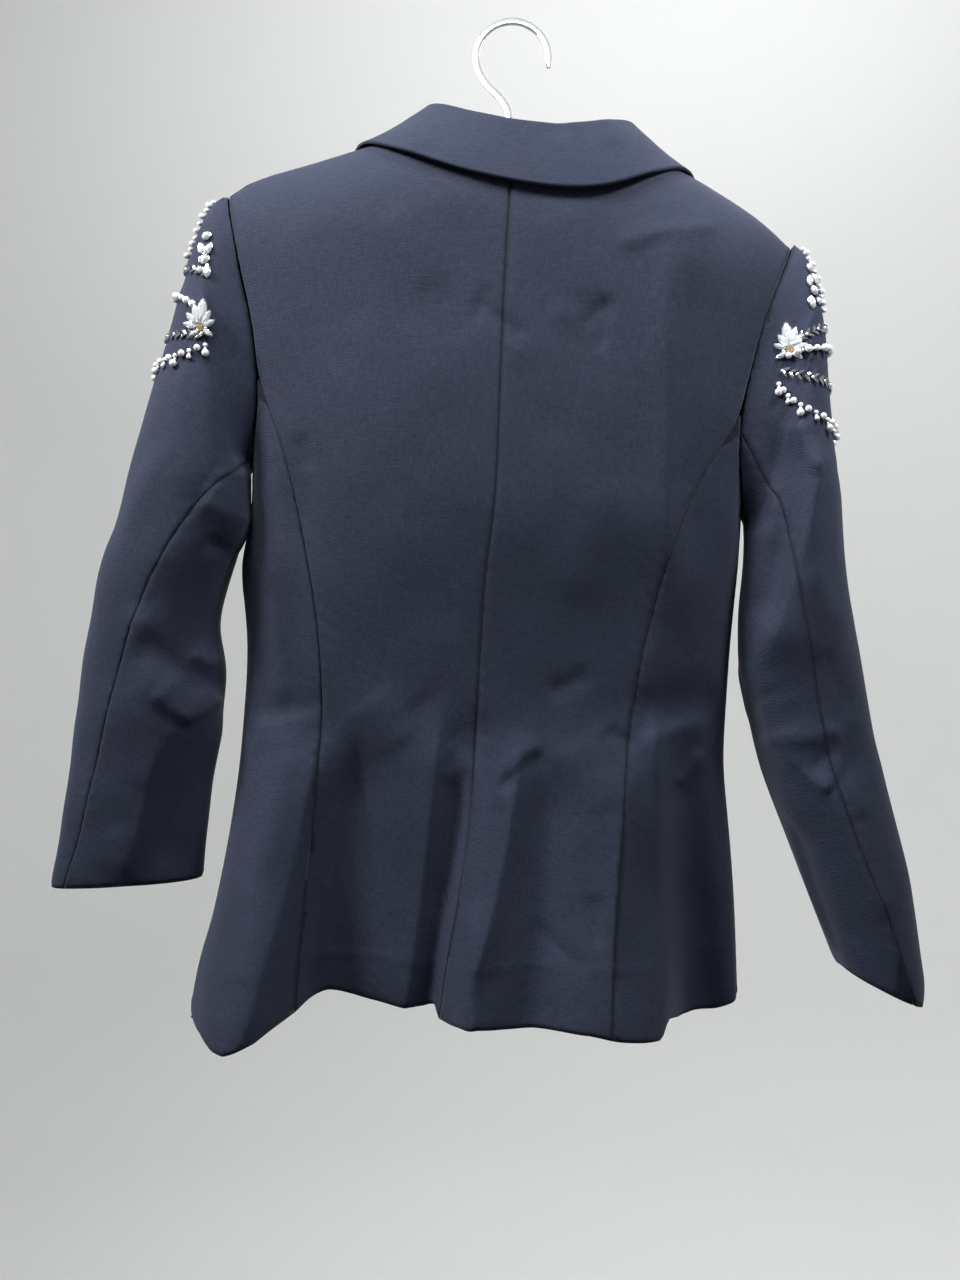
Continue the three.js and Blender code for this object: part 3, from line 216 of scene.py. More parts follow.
# How strongly lean shifts the flanks of a crease, and the share of its length that it runs on at each end
LEAN_GAIN = 0.7
ROW_OVERRUN = 0.15

# Seams, the painted shade along them, and fine unevenness
SEAM_CLOSE = 0.24
SEAM_DEPTH = 0.8
SEAM_WIDTH = 1.7
# Width and strength of the painted shade along the seams, which stands in for the shadow in their grooves
SEAM_SHADE_WIDTH = 1.2
SEAM_PAINTED_SHADE = 0.8
PUCKER_DEPTH = 0.22
PUCKER_REACH = 6
PUCKER_LENGTH = 10.5
SIDE_FADE = 16
END_FADE = 0.3
CREASE_GAIN = 1.15
SOFT_EDGE = 0.012
UNEVEN = 0.34
UNEVEN_WAVES = 16
UNEVEN_SEEDS = {"back": 11, "front": 12, "left": 21, "right": 22, "collar": 31}
COLLAR_UNEVEN = 0.6

# The turned-up hem: its height, the ridge along its upper edge, and the hem's own level
HEM_TURN = 28
HEM_RIDGE = 0.5
HEM_RIDGE_WIDTH = 2.5
HEM_LEVEL = {"back": -672, "front": -681}

# How far the back hem rises above the solid's (negative where it drops), across, and from where it fades in
HEM_SHIFT = [
    # x, rise
    (-222, 11), (-205, 8), (-195, 0), (-186, -4.5), (-166, -4), (-157, -1.5), (-138, 2), (-126, 3.4),
    (-108, 3.2), (-92, 2), (-82, 0), (-73, -1.5), (-60, -0.5), (-53, 2), (-50, -6), (-44, -4),
    (-36, 0), (-24, 2.5), (20, 2), (48, 0.5), (68, -2.7), (86, -4.2), (97, -6), (100, -2), (103, 5),
    (113, 0), (122, -1), (132, 2.5), (150, 6),
]
HEM_SHIFT_TOP = -610
HEM_SHIFT_REACH = 64

# Cloth pieces: how often the solid's mesh is divided, the flat size that each was cut to, and its area
CLOTH = {
    # name: (levels, width, length, area)
    "back": (3, 0.205, 0.60, 0.082),
    "side_back": (3, 0.10, 0.44, 0.033),
    "front": (3, 0.23, 0.61, 0.108),
    "lapel": (2, 0.065, 0.27, 0.011),
    "top_sleeve": (3, 0.22, 0.52, 0.079),
    "under_sleeve": (3, 0.12, 0.40, 0.039),
}
COLLAR_CLOTH = (2, 0.45, 0.075, 0.028)

# A piece's own rim is where a solid's faces meet at more than this angle. Then the sleeve's plain wall,
# and how far the relief on it can reach
RIM_ANGLE = math.radians(66)
SLEEVE_WALL = 1.6
RELIEF_REACH = 7


def smoothstep(value):
    v = np.clip(value, 0, 1)
    return v * v * (3 - 2 * v)


def crease_field(rows, x, z):
    """How far the creases of a table stand proud at each point."""
    total = np.zeros_like(x)
    for x1, z1, x2, z2, width, out, bow, lean, edge in rows:
        dx, dz = x2 - x1, z2 - z1
        length = math.hypot(dx, dz)
        along = ((x - x1) * dx + (z - z1) * dz) / length**2
        across = ((x - x1) * dz - (z - z1) * dx) / length
        across = across - bow * 4 * along * (1 - along)
        flank = width * (1 + lean * np.tanh(across / width) * LEAN_GAIN)
        ends = smoothstep((along + ROW_OVERRUN) / END_FADE)
        ends *= smoothstep((1 + ROW_OVERRUN - along) / END_FADE)
        total += out * ends * np.exp(-(np.sqrt((across / flank) ** 2 + SOFT_EDGE) ** edge))
    return total * CREASE_GAIN


def uneven_field(seed, x, z, shortest=42, longest=170):
    """Slight unevenness of hanging cloth, a sum of long waves."""
    rng = random.Random(seed)
    total = np.zeros_like(x)
    for _ in range(UNEVEN_WAVES):
        turn = rng.uniform(0, math.pi)
        wave = rng.uniform(shortest, longest)
        phase = rng.uniform(0, 2 * math.pi)
        total += np.sin((x * math.cos(turn) + z * math.sin(turn)) * 2 * math.pi / wave + phase)
    return total * UNEVEN / math.sqrt(UNEVEN_WAVES / 2)


def smooth_copy(name, levels, piece_name):
    """The node's mesh as quads, divided and smoothed, with its rims kept sharp."""
    bm = bmesh.new()
    bm.from_mesh(nodes[name].data)
    bmesh.ops.remove_doubles(bm, verts=bm.verts, dist=1e-6)
    bmesh.ops.join_triangles(
        bm, faces=bm.faces, angle_face_threshold=RIM_ANGLE, angle_shape_threshold=math.radians(100)
    )
    rim_layer = bm.verts.layers.float.new("rim")
    crease_layer = bm.edges.layers.float.new("crease_edge")
    for edge in bm.edges:
        if len(edge.link_faces) == 2 and edge.calc_face_angle(0) > RIM_ANGLE:
            edge[crease_layer] = 1
            for vert in edge.verts:
                vert[rim_layer] = 1
    if name.startswith("top_sleeve"):
        flatten_relief(bm)
    mesh = bpy.data.meshes.new(piece_name)
    bm.to_mesh(mesh)
    bm.free()
    obj = bpy.data.objects.new(piece_name, mesh)
    bpy.context.scene.collection.objects.link(obj)
    subdivide(obj, levels)
    return obj


def flatten_relief(bm):
    """Takes the raised beadwork off the outer wall, because real beads take its place."""
    tree = KDTree(len(bm.verts))
    for vert in bm.verts:
        tree.insert(vert.co, vert.index)
    tree.balance()
    bm.verts.ensure_lookup_table()
    axis = sum((v.co for v in bm.verts), Vector()) / len(bm.verts)
    for vert in list(bm.verts):
        near = tree.find_n(vert.co, 2)[1]
        partner, distance = near[0], near[2]
        if distance < (SLEEVE_WALL + 0.1) * MM or distance > RELIEF_REACH * MM:
            continue
        if (vert.co - axis).xy.length > (partner - axis).xy.length:
            vert.co = partner + (vert.co - partner).normalized() * SLEEVE_WALL * MM


def subdivide(obj, levels):
    mesh = obj.data
    crease = mesh.attributes.get("crease_edge")
    values = np.zeros(len(mesh.edges), dtype=np.float32)
    crease.data.foreach_get("value", values)
    mesh.attributes.remove(crease)
    mesh.attributes.new("crease_edge", "FLOAT", "EDGE").data.foreach_set("value", values)
    modifier = obj.modifiers.new("divide", "SUBSURF")
    modifier.levels = levels
    modifier.render_levels = levels
    modifier.use_creases = True
    depsgraph = bpy.context.evaluated_depsgraph_get()
    finer = bpy.data.meshes.new_from_object(obj.evaluated_get(depsgraph))
    obj.modifiers.clear()
    obj.data = finer
    obj.data.name = obj.name


def points_of(obj):
    flat = np.zeros(len(obj.data.vertices) * 3, dtype=np.float64)
    obj.data.vertices.foreach_get("co", flat)
    return flat.reshape(-1, 3) / MM


def set_points(obj, points):
    obj.data.vertices.foreach_set("co", (points * MM).reshape(-1))
    obj.data.update()


def rim_distance(obj, points):
    """Distance of each point to the piece's own edge."""
    weights = np.zeros(len(obj.data.vertices), dtype=np.float32)
    obj.data.attributes["rim"].data.foreach_get("value", weights)
    rims = points[weights > 0.98]
    tree = KDTree(len(rims))
    for i, p in enumerate(rims):
        tree.insert(p, i)
    tree.balance()
    reach = PUCKER_REACH * 3
    found = np.full(len(points), float(reach))
    near = weights > 0.02
    for i in np.nonzero(near)[0]:
        found[i] = tree.find(points[i])[2]
    return found


def close_seams(obj, points):
    """Brings the edges of neighbouring pieces together, as they are sewn."""
    mesh = obj.data
    weights = np.zeros(len(mesh.vertices), dtype=np.float32)
    mesh.attributes["rim"].data.foreach_get("value", weights)
    rim = weights > 0.98
    push = np.zeros_like(points)
    for polygon in mesh.polygons:
        if rim[list(polygon.vertices)].all():
            push[list(polygon.vertices)] += polygon.normal[:]
    size = np.linalg.norm(push, axis=1)
    held = size > 1e-6
    points[held] += push[held] / size[held, None] * SEAM_CLOSE


def seam_field(distance, place):
    """A groove along each seam, with slight puckers beside it."""
    groove = -SEAM_DEPTH * np.exp(-((distance / SEAM_WIDTH) ** 2))
    wave = np.sin(place * 2 * math.pi / PUCKER_LENGTH + 1.7 * np.sin(place / 23))
    return groove + PUCKER_DEPTH * wave * np.exp(-distance / PUCKER_REACH)


def mark_seam_shade(obj, distance):
    """Keeps how near each point is to a seam, for the painted shade that the material lays along the seams.
    """
    line = np.exp(-((distance / SEAM_SHADE_WIDTH) ** 2)).astype(np.float32)
    obj.data.attributes.new("seam", "FLOAT", "POINT").data.foreach_set("value", line)


def finish_mesh(obj, material):
    obj.data.set_sharp_from_angle(angle=math.radians(50))
    obj.data.materials.clear()
    obj.data.materials.append(material)
    for polygon in obj.data.polygons:
        polygon.use_smooth = True
    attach(obj, "root")


def body_piece(name, kind):
    levels = CLOTH[kind][0]
    obj = smooth_copy(name, levels, f"cloth_{name}")
    p = points_of(obj)
    close_seams(obj, p)
    x, y, z = p[:, 0], p[:, 1], p[:, 2]
    back = kind in ("back", "side_back")
    face = "back" if back else "front"
    rows = BACK_CREASES if back else FRONT_CREASES
    sign = -1 if back else 1
    fade = smoothstep(sign * y / SIDE_FADE)
    field = crease_field(rows, x, z) * fade
    field += uneven_field(UNEVEN_SEEDS[face], x, z) * fade
    distance = rim_distance(obj, p)
    field += seam_field(distance, z + 0.6 * x)
    if kind != "lapel":
        mark_seam_shade(obj, distance)
        ridge = HEM_LEVEL[face] + HEM_TURN
        field += HEM_RIDGE * np.exp(-(((z - ridge) / HEM_RIDGE_WIDTH) ** 2)) * fade
    p[:, 1] = y + sign * field
    if back:
        across, rise = zip(*HEM_SHIFT)
        p[:, 2] += np.interp(x, across, rise) * smoothstep((HEM_SHIFT_TOP - z) / HEM_SHIFT_REACH) * fade
    set_points(obj, p)
    return obj


def sleeve_axis(side):
    """Middle of the sleeve across, by height."""
    points = [points_of(nodes[f"{part}_{side}"]) for part in ("top_sleeve", "under_sleeve")]
    p = np.vstack(points)
    heights = np.arange(-690, -115, 12.0)
    found = []
    for h in heights:
        band = p[np.abs(p[:, 2] - h) < 22]
        if len(band) > 3:
            found.append((h, (band[:, 0].min() + band[:, 0].max()) / 2))
    table = np.array(found)
    return lambda z: np.interp(z, table[:, 0], table[:, 1])


def sleeve_piece(name, kind, side, axis, tables):
    levels = CLOTH[kind][0]
    obj = smooth_copy(name, levels, f"cloth_{name}")
    p = points_of(obj)
    close_seams(obj, p)
    x, y, z = p[:, 0], p[:, 1], p[:, 2]
    away_x = x - axis(z)
    size = np.maximum(np.hypot(away_x, y), 1)
    back_rows, front_rows = tables
    field = crease_field(back_rows, x, z) * smoothstep(-y / SIDE_FADE)
    field += crease_field(front_rows, x, z) * smoothstep(y / SIDE_FADE)
    around = np.arctan2(y, away_x) * 45
    calm = smoothstep((-z - 130) / 30)
    field += uneven_field(UNEVEN_SEEDS[side], around, z) * calm
    distance = rim_distance(obj, p)
    field += seam_field(distance, z)
    mark_seam_shade(obj, distance)
    p[:, 0] = x + field * away_x / size
    p[:, 1] = y + field * y / size
    set_points(obj, p)
    return obj


def collar_piece():
    obj = smooth_copy("collar", COLLAR_CLOTH[0], "cloth_collar")
    p = points_of(obj)
    x, y, z = p[:, 0], p[:, 1], p[:, 2]
    fade = smoothstep(-(y + 20) / SIDE_FADE)
    uneven = uneven_field(UNEVEN_SEEDS["collar"], x, z)
    field = (crease_field(COLLAR_CREASES, x, z) + COLLAR_UNEVEN * uneven) * fade
    p[:, 1] = y - field
    set_points(obj, p)
    return obj


# Materials
def new_material(name):
    material = bpy.data.materials.new(name)
    material.use_nodes = True
    tree = material.node_tree
    shader = next(n for n in tree.nodes if n.type == "BSDF_PRINCIPLED")
    return material, tree, shader


def add(tree, kind, **values):
    node = tree.nodes.new(kind)
    for key, value in values.items():
        if key in node.inputs:
            node.inputs[key].default_value = value
        else:
            setattr(node, key, value)
    return node


def noise(tree, coordinates, scale, detail=3.0, stretch=(1, 1, 1)):
    mapping = add(tree, "ShaderNodeMapping")
    mapping.inputs["Scale"].default_value = stretch
    tree.links.new(coordinates, mapping.inputs["Vector"])
    node = add(tree, "ShaderNodeTexNoise")
    node.inputs["Scale"].default_value = scale
    node.inputs["Detail"].default_value = detail
    tree.links.new(mapping.outputs["Vector"], node.inputs["Vector"])
    return node.outputs["Fac"]


def ramp(tree, factor, stops):
    node = add(tree, "ShaderNodeValToRGB")
    node.color_ramp.elements[0].position = stops[0][0]
    node.color_ramp.elements[0].color = (*stops[0][1], 1)
    node.color_ramp.elements[1].position = stops[-1][0]
    node.color_ramp.elements[1].color = (*stops[-1][1], 1)
    for position, colour in stops[1:-1]:
        element = node.color_ramp.elements.new(position)
        element.color = (*colour, 1)
    tree.links.new(factor, node.inputs["Fac"])
    return node.outputs["Color"]


def mix_colour(tree, factor, a, b, blend="MIX"):
    node = tree.nodes.new("ShaderNodeMix")
    node.data_type = "RGBA"
    node.blend_type = blend
    for socket, value in ((node.inputs[0], factor), (node.inputs[6], a), (node.inputs[7], b)):
        if isinstance(value, bpy.types.NodeSocket):
            tree.links.new(value, socket)
        elif isinstance(value, tuple):
            socket.default_value = (*value, 1)
        else:
            socket.default_value = value
    return node.outputs[2]


def maths(tree, operation, a, b):
    node = tree.nodes.new("ShaderNodeMath")
    node.operation = operation
    for socket, value in zip(node.inputs, (a, b)):
        if isinstance(value, bpy.types.NodeSocket):
            tree.links.new(value, socket)
        else:
            socket.default_value = value
    return node.outputs[0]


def bump(tree, shader, height, strength, distance):
    node = add(tree, "ShaderNodeBump")
    node.inputs["Strength"].default_value = strength
    node.inputs["Distance"].default_value = distance
    tree.links.new(height, node.inputs["Height"])
    tree.links.new(node.outputs["Normal"], shader.inputs["Normal"])


def suiting_material():
    material, tree, shader = new_material("suiting")
    place = add(tree, "ShaderNodeTexCoord").outputs["Object"]
    cloudy = noise(tree, place, 7, 4)
    base = ramp(tree, cloudy, [(0.3, (0.0125, 0.0165, 0.0300)), (0.55, (0.0145, 0.0185, 0.0335)),
                               (0.75, (0.0170, 0.0190, 0.0360))])
    slub = noise(tree, place, 900, 3, (0.22, 0.22, 1.6))
    warp = noise(tree, place, 1100, 2, (1.6, 1.6, 0.18))
    thread = maths(tree, "ADD", slub, warp)
    shade = ramp(tree, maths(tree, "MULTIPLY", thread, 0.5),
                 [(0.38, (0.72, 0.72, 0.74)), (0.62, (1.28, 1.28, 1.26))])
    colour = mix_colour(tree, 1.0, base, shade, "MULTIPLY")
    # Painted shade: the colour is darkened towards near black along the seams, standing in for the shadow in
    # their grooves
    seam = add(tree, "ShaderNodeAttribute", attribute_name="seam").outputs["Fac"]
    colour = mix_colour(tree, maths(tree, "MULTIPLY", seam, SEAM_PAINTED_SHADE), colour, (0.002, 0.0025, 0.004))
    tree.links.new(colour, shader.inputs["Base Color"])
    twill = add(tree, "ShaderNodeTexWave", bands_direction="DIAGONAL")
    twill.inputs["Scale"].default_value = 330
    twill.inputs["Distortion"].default_value = 1.2
    twill.inputs["Detail"].default_value = 1
    twill.inputs["Detail Scale"].default_value = 2
    tree.links.new(place, twill.inputs["Vector"])
    height = maths(tree, "ADD", maths(tree, "MULTIPLY", twill.outputs["Fac"], 0.5), thread)
    bump(tree, shader, height, 0.5, 0.00035)
    shader.inputs["Roughness"].default_value = 0.82
    shader.inputs["Specular IOR Level"].default_value = 0.12
    shader.inputs["Sheen Weight"].default_value = 0.07
    shader.inputs["Sheen Roughness"].default_value = 0.45
    shader.inputs["Sheen Tint"].default_value = (0.72, 0.80, 1.0, 1)
    return material


def pearl_material():
    material, tree, shader = new_material("pearl")
    place = add(tree, "ShaderNodeTexCoord").outputs["Object"]
    tone = noise(tree, place, 160, 2)
    colour = ramp(tree, tone, [(0.3, (0.50, 0.50, 0.54)), (0.7, (0.82, 0.82, 0.84))])
    tree.links.new(colour, shader.inputs["Base Color"])
    bump(tree, shader, noise(tree, place, 1500, 2), 0.12, 0.0002)
    shader.inputs["Metallic"].default_value = 0.35
    shader.inputs["Roughness"].default_value = 0.2
    shader.inputs["Coat Weight"].default_value = 0.8
    shader.inputs["Coat Roughness"].default_value = 0.06
    return material


def crystal_material(name, low, high, metallic):
    material, tree, shader = new_material(name)
    place = add(tree, "ShaderNodeTexCoord").outputs["Object"]
    tone = noise(tree, place, 420, 2)
    tree.links.new(ramp(tree, tone, [(0.3, low), (0.7, high)]), shader.inputs["Base Color"])
    shader.inputs["Metallic"].default_value = metallic
    shader.inputs["Roughness"].default_value = 0.07
    shader.inputs["IOR"].default_value = 1.7
    shader.inputs["Transmission Weight"].default_value = 0.6
    shader.inputs["Coat Weight"].default_value = 1.0
    shader.inputs["Coat Roughness"].default_value = 0.02
    return material


def plastic_material():
    material, tree, shader = new_material("clear_plastic")
    place = add(tree, "ShaderNodeTexCoord").outputs["Object"]
    tone = noise(tree, place, 30, 2)
    colour = ramp(tree, tone, [(0.3, (0.84, 0.87, 0.89)), (0.7, (0.93, 0.95, 0.96))])
    tree.links.new(colour, shader.inputs["Base Color"])
    bump(tree, shader, noise(tree, place, 70, 2), 0.15, 0.0006)
    shader.inputs["Roughness"].default_value = 0.06
    shader.inputs["IOR"].default_value = 1.49
    shader.inputs["Transmission Weight"].default_value = 0.9
    return material


def horn_material():
    material, tree, shader = new_material("dark_horn")
    place = add(tree, "ShaderNodeTexCoord").outputs["Object"]
    streak = noise(tree, place, 120, 4, (1, 1, 3))
    colour = ramp(tree, streak, [(0.35, (0.006, 0.007, 0.010)), (0.7, (0.030, 0.028, 0.030))])
    tree.links.new(colour, shader.inputs["Base Color"])
    bump(tree, shader, noise(tree, place, 300, 3), 0.1, 0.0002)
    shader.inputs["Roughness"].default_value = 0.3
    shader.inputs["Coat Weight"].default_value = 0.4
    return material


suiting = suiting_material()
pearl = pearl_material()
crystal = crystal_material("crystal", (0.70, 0.74, 0.80), (0.96, 0.97, 1.0), 0.1)
gold = crystal_material("warm_stone", (0.42, 0.27, 0.10), (0.80, 0.58, 0.28), 0.55)
silver = crystal_material("setting", (0.45, 0.46, 0.48), (0.70, 0.71, 0.73), 0.9)

# Cloth
cloth = {}
for side in SIDES:
    for kind in ("back", "side_back", "front", "lapel"):
        cloth[f"{kind}_{side}"] = body_piece(f"{kind}_{side}", kind)
creases = {
    "left": (SLEEVE_LEFT_BACK, SLEEVE_LEFT_FRONT),
    "right": (SLEEVE_RIGHT_BACK, SLEEVE_RIGHT_FRONT),
}
axes = {side: sleeve_axis(side) for side in SIDES}
for side in SIDES:
    for kind in ("top_sleeve", "under_sleeve"):
        name = f"{kind}_{side}"
        cloth[name] = sleeve_piece(name, kind, side, axes[side], creases[side])
cloth["collar"] = collar_piece()
for name, obj in cloth.items():
    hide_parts(name)
    finish_mesh(obj, suiting)


# Beads, as unit shapes: x along the bead, z away from the cloth
def sphere_shape(divisions):
    bm = bmesh.new()
    bmesh.ops.create_icosphere(bm, subdivisions=divisions, radius=1)
    verts = np.array([v.co[:] for v in bm.verts])
    faces = [[v.index for v in f.verts] for f in bm.faces]
    bm.free()
    return verts, faces


def stacked_faces(rings, sides):
    """Faces of rings of the same number of points, closed at both ends."""
    faces = []
    for i in range(rings - 1):
        for k in range(sides):
            n = (k + 1) % sides
            faces.append([i * sides + k, i * sides + n, (i + 1) * sides + n, (i + 1) * sides + k])
    faces.append(list(range(sides))[::-1])
    faces.append([(rings - 1) * sides + k for k in range(sides)])
    return faces


def turned_shape(profile, sides):
    """A bead turned about x from rows of (x, radius)."""
    verts = []
    for x, radius in profile:
        for k in range(sides):
            turn = 2 * math.pi * (k + 0.5) / sides
            verts.append((x, radius * math.cos(turn), radius * math.sin(turn)))
    return np.array(verts), stacked_faces(len(profile), sides)


# Rings of a stone (girdle, crown and table over a flat back) and of its low setting: scale, height
STONE_RINGS = [(0.78, 0.0), (1.0, 0.38), (0.9, 0.55), (0.52, 1.0)]
CUP_RINGS = [(0.9, 0.0), (1.12, 0.12), (1.14, 0.42), (1.02, 0.46), (0.94, 0.3)]
POINTED_NARROW = 0.55


def cut_shape(rings, points, pointed):
    """A stone or its setting, from rows of (scale, height) of one round or pointed outline."""
    outline = []
    for k in range(points):
        turn = 2 * math.pi * k / points
        narrow = abs(math.sin(turn)) ** POINTED_NARROW if pointed else 1
        outline.append((math.cos(turn), math.sin(turn) * narrow))
    verts = [(x * s, y * s, h) for s, h in rings for x, y in outline]
    return np.array(verts), stacked_faces(len(rings), points)


LEAF_PROFILE = [(-1, 0.12), (-0.6, 0.78), (-0.05, 1), (0.5, 0.74), (1, 0.1)]
SHAPES = {
    "pearl": sphere_shape(3),
    "seed": sphere_shape(2),
    "leaf": turned_shape(LEAF_PROFILE, 6),
    "marquise": cut_shape(STONE_RINGS, 12, True),
    "round": cut_shape(STONE_RINGS, 10, False),
    "marquise_cup": cut_shape(CUP_RINGS, 12, True),
    "round_cup": cut_shape(CUP_RINGS, 10, False),
}


class BeadStore:
    """Collects stamped beads and turns them into one mesh for each material."""

    def __init__(self):
        self.kinds = {}

    def stamp(self, kind, shape, place, normal, along, size):
        normal = normal.normalized()
        along = (along - normal * along.dot(normal)).normalized()
        side = normal.cross(along)
        verts, faces = SHAPES[shape]
        axes_now = np.array([along[:], side[:], normal[:]])
        moved = (verts * np.array(size)) @ axes_now + np.array(place[:])
        store = self.kinds.setdefault(kind, ([], []))
        start = sum(len(v) for v in store[0])
        store[0].append(moved)
        store[1].extend([[start + i for i in face] for face in faces])

    def build(self, side, materials):
        made = []
        for kind, (verts, faces) in self.kinds.items():
            name = f"{kind}_{side}"
            mesh = bpy.data.meshes.new(name)
            mesh.from_pydata((np.vstack(verts) * MM).tolist(), [], faces)
            mesh.materials.append(materials[kind])
            smooth = kind == "pearls"
            for polygon in mesh.polygons:
                polygon.use_smooth = smooth
            obj = bpy.data.objects.new(name, mesh)
            bpy.context.scene.collection.objects.link(obj)
            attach(obj, "root")
            made.append(obj)
        return made


# A ray towards the sleeve from outside: its slant, as half the sleeve's width and depth, where it starts,
# and the longest step along a row that doesn't count as a jump
RAY_WIDTH = 28
RAY_DEPTH = 46
RAY_START = 120
LONGEST_STEP = 12


class SleeveSurface:
    """Finds places on a sleeve by the angle round it and the height."""

    def __init__(self, side):
        self.away = -1 if side == "left" else 1
        self.axis = axes[side]
        verts, faces = [], []
        for part in ("top_sleeve", "under_sleeve"):
            mesh = cloth[f"{part}_{side}"].data
            start = len(verts)
            verts.extend([v.co / MM for v in mesh.vertices])
            faces.extend([[start + i for i in f.vertices] for f in mesh.polygons])
        self.tree = BVHTree.FromPolygons(verts, faces)

    def at(self, angle, z):
        """angle 0 is the outer side, 90 the back and -90 the front."""
        turn = math.radians(angle)
        centre = Vector((float(self.axis(z)), 0, z))
        ray = Vector((self.away * RAY_WIDTH * math.cos(turn), -RAY_DEPTH * math.sin(turn), 0)).normalized()
        hit, normal, _, _ = self.tree.ray_cast(centre + ray * RAY_START, -ray)
        if hit is None:
            return None
        if normal.dot(ray) < 0:
            normal = -normal
        return hit, normal

    def path(self, route, samples=240):
        """Places along a route given as a function from 0..1 to (angle, z)."""
        found = [self.at(*route(k / samples)) for k in range(samples + 1)]
        return [f for f in found if f]

    def spaced(self, route, pitch, start=0.0):
        """Places a pitch apart along the route, with the direction of travel."""
        path = self.path(route)
        places = []
        gone = -start
        for (p, n), (q, _) in zip(path, path[1:]):
            step = (q - p).length
            if step < 1e-6 or step > LONGEST_STEP:
                continue
            while gone + step >= 0:
                f = -gone / step
                places.append((p.lerp(q, f), n, (q - p).normalized()))
                gone -= pitch
            gone += step
        return places


def hanging_row(back_angle, z_back, z_out, power=2.0):
    """A row from the back, round the outer side, to the front, mirrored."""
    def route(t):
        angle = back_angle * (1 - 2 * t)
        share = abs(angle / back_angle) ** power
        return angle, z_out + (z_back - z_out) * share
    return route


# Rows of the beadwork on each sleeve: kind, angle of its back end, height there and on the outer side
BEAD_ROWS = {
    "left": [
        ("leaf", 92, -184, -176),
        ("pearl", 88, -210, -194),
        ("leaf", 94, -227, -224),
        ("double", 102, -234, -243),
    ],
    "right": [
        ("leaf", 98, -231, -216),
        ("pearl", 104, -240, -232),
        ("leaf", 112, -250, -258),
        ("double", 114, -259, -287),
    ],
}

# Beads: radius, or half length, width and height, and the pitches along the rows
PEARL = 2.6
SMALL_PEARL = 1.7
SEED = 1.15
LEAF_SIZE = (3.1, 1.15, 1.0)
LEAF_PITCH = 5.2
PEARL_PITCH = 6.6
DOUBLE_PITCH = 5.4
CHAIN_PITCH = 5.2
# Flower at each end of the rows: petals by turn from upright towards the outer side, and length
PETALS = [(-8, 17), (14, 14), (42, 11.5), (74, 10), (-34, 11), (-66, 9), (128, 8), (-122, 8)]
FLOWERS = {
    # side: (angle, z of the middle)
    "left": (92, -222),
    "right": (102, -236),
}
STONES = {
    # side: rows of angle, z, half length, half width, turn, kind
    "left": [
        (86, -156, 3.2, 3.2, 0, "round"),
        (78, -165, 4.6, 2.7, 70, "marquise"),
        (93, -166, 4.6, 2.7, 110, "marquise"),
        (85, -173.5, 3.4, 3.4, 0, "round"),
        (90, -182, 4.6, 2.8, 90, "marquise"),
        (76, -181, 2.6, 2.6, 0, "round"),
    ],
    "right": [
        (62, -176, 3.2, 3.2, 0, "round"),
        (52, -184, 4.6, 2.7, 70, "marquise"),
        (70, -186, 4.6, 2.7, 110, "marquise"),
        (60, -193, 3.4, 3.4, 0, "round"),
        (66, -202, 4.6, 2.8, 90, "marquise"),
        (50, -200, 2.6, 2.6, 0, "round"),
    ],
}
HEAD_CHAIN = {
    # side: (start angle, start z, end angle, end z)
    "left": (40, -126, 20, -170),
    "right": (46, -160, 30, -206),
}


def stone(store, surface, angle, z, half_length, half_width, turn, kind, colour="crystals"):
    found = surface.at(angle, z)
    if not found:
        return
    place, normal = found
    up = Vector((0, 0, 1))
    side = normal.cross(up).normalized()
    along = up * math.sin(math.radians(turn)) + side * math.cos(math.radians(turn))
    height = half_width * 0.85
    store.stamp("settings", f"{kind}_cup", place, normal, along, (half_length, half_width, height))
    store.stamp(colour, kind, place + normal * 0.5, normal, along, (half_length, half_width, height))


def pearl_on(store, place, normal, radius, kind="pearls"):
    shape = "pearl" if radius > 2 else "seed"
    along = normal.cross(Vector((0, 0, 1)))
    store.stamp(kind, shape, place + normal * radius * 0.86, normal, along, (radius,) * 3)


def leaf_row(store, surface, row):
    """Leaf beads in pairs like an ear of wheat, with seed beads between them."""
    _, angle, z_back, z_out = row
    for k, (place, normal, along) in enumerate(surface.spaced(hanging_row(angle, z_back, z_out), LEAF_PITCH)):
        across = normal.cross(along).normalized()
        for sign in (-1, 1):
            lean = (along * 0.78 + across * sign * 0.62).normalized()
            middle = place + lean * 2.2 + normal * 1.0
            store.stamp("leaves", "leaf", middle, normal, lean, LEAF_SIZE)
        if k % 2 == 0:
            pearl_on(store, place, normal, SEED)


def pearl_row(store, surface, row):
    _, angle, z_back, z_out = row
    for k, (place, normal, _) in enumerate(surface.spaced(hanging_row(angle, z_back, z_out), PEARL_PITCH)):
        pearl_on(store, place, normal, PEARL if k % 3 else 2.15)
    for place, normal, _ in surface.spaced(hanging_row(angle, z_back, z_out), PEARL_PITCH, PEARL_PITCH / 2):
        pearl_on(store, place, normal, SEED)


def double_row(store, surface, row):
    """A scallop of pearls with small ones between, and a pearl drop under every second one."""
    _, angle, z_back, z_out = row
    route = hanging_row(angle, z_back, z_out, 2.4)
    for k, (place, normal, along) in enumerate(surface.spaced(route, DOUBLE_PITCH)):
        pearl_on(store, place, normal, 2.3 if k % 2 else SMALL_PEARL)
        if k % 2 == 0:
            drop = 5.6 if k % 4 == 0 else 4.2
            down = Vector((0, 0, -1))
            down = (down - normal * down.dot(normal)).normalized()
            pearl_on(store, place + down * drop, normal, PEARL if k % 4 == 0 else SMALL_PEARL)
            pearl_on(store, place + down * 2.4, normal, SEED)


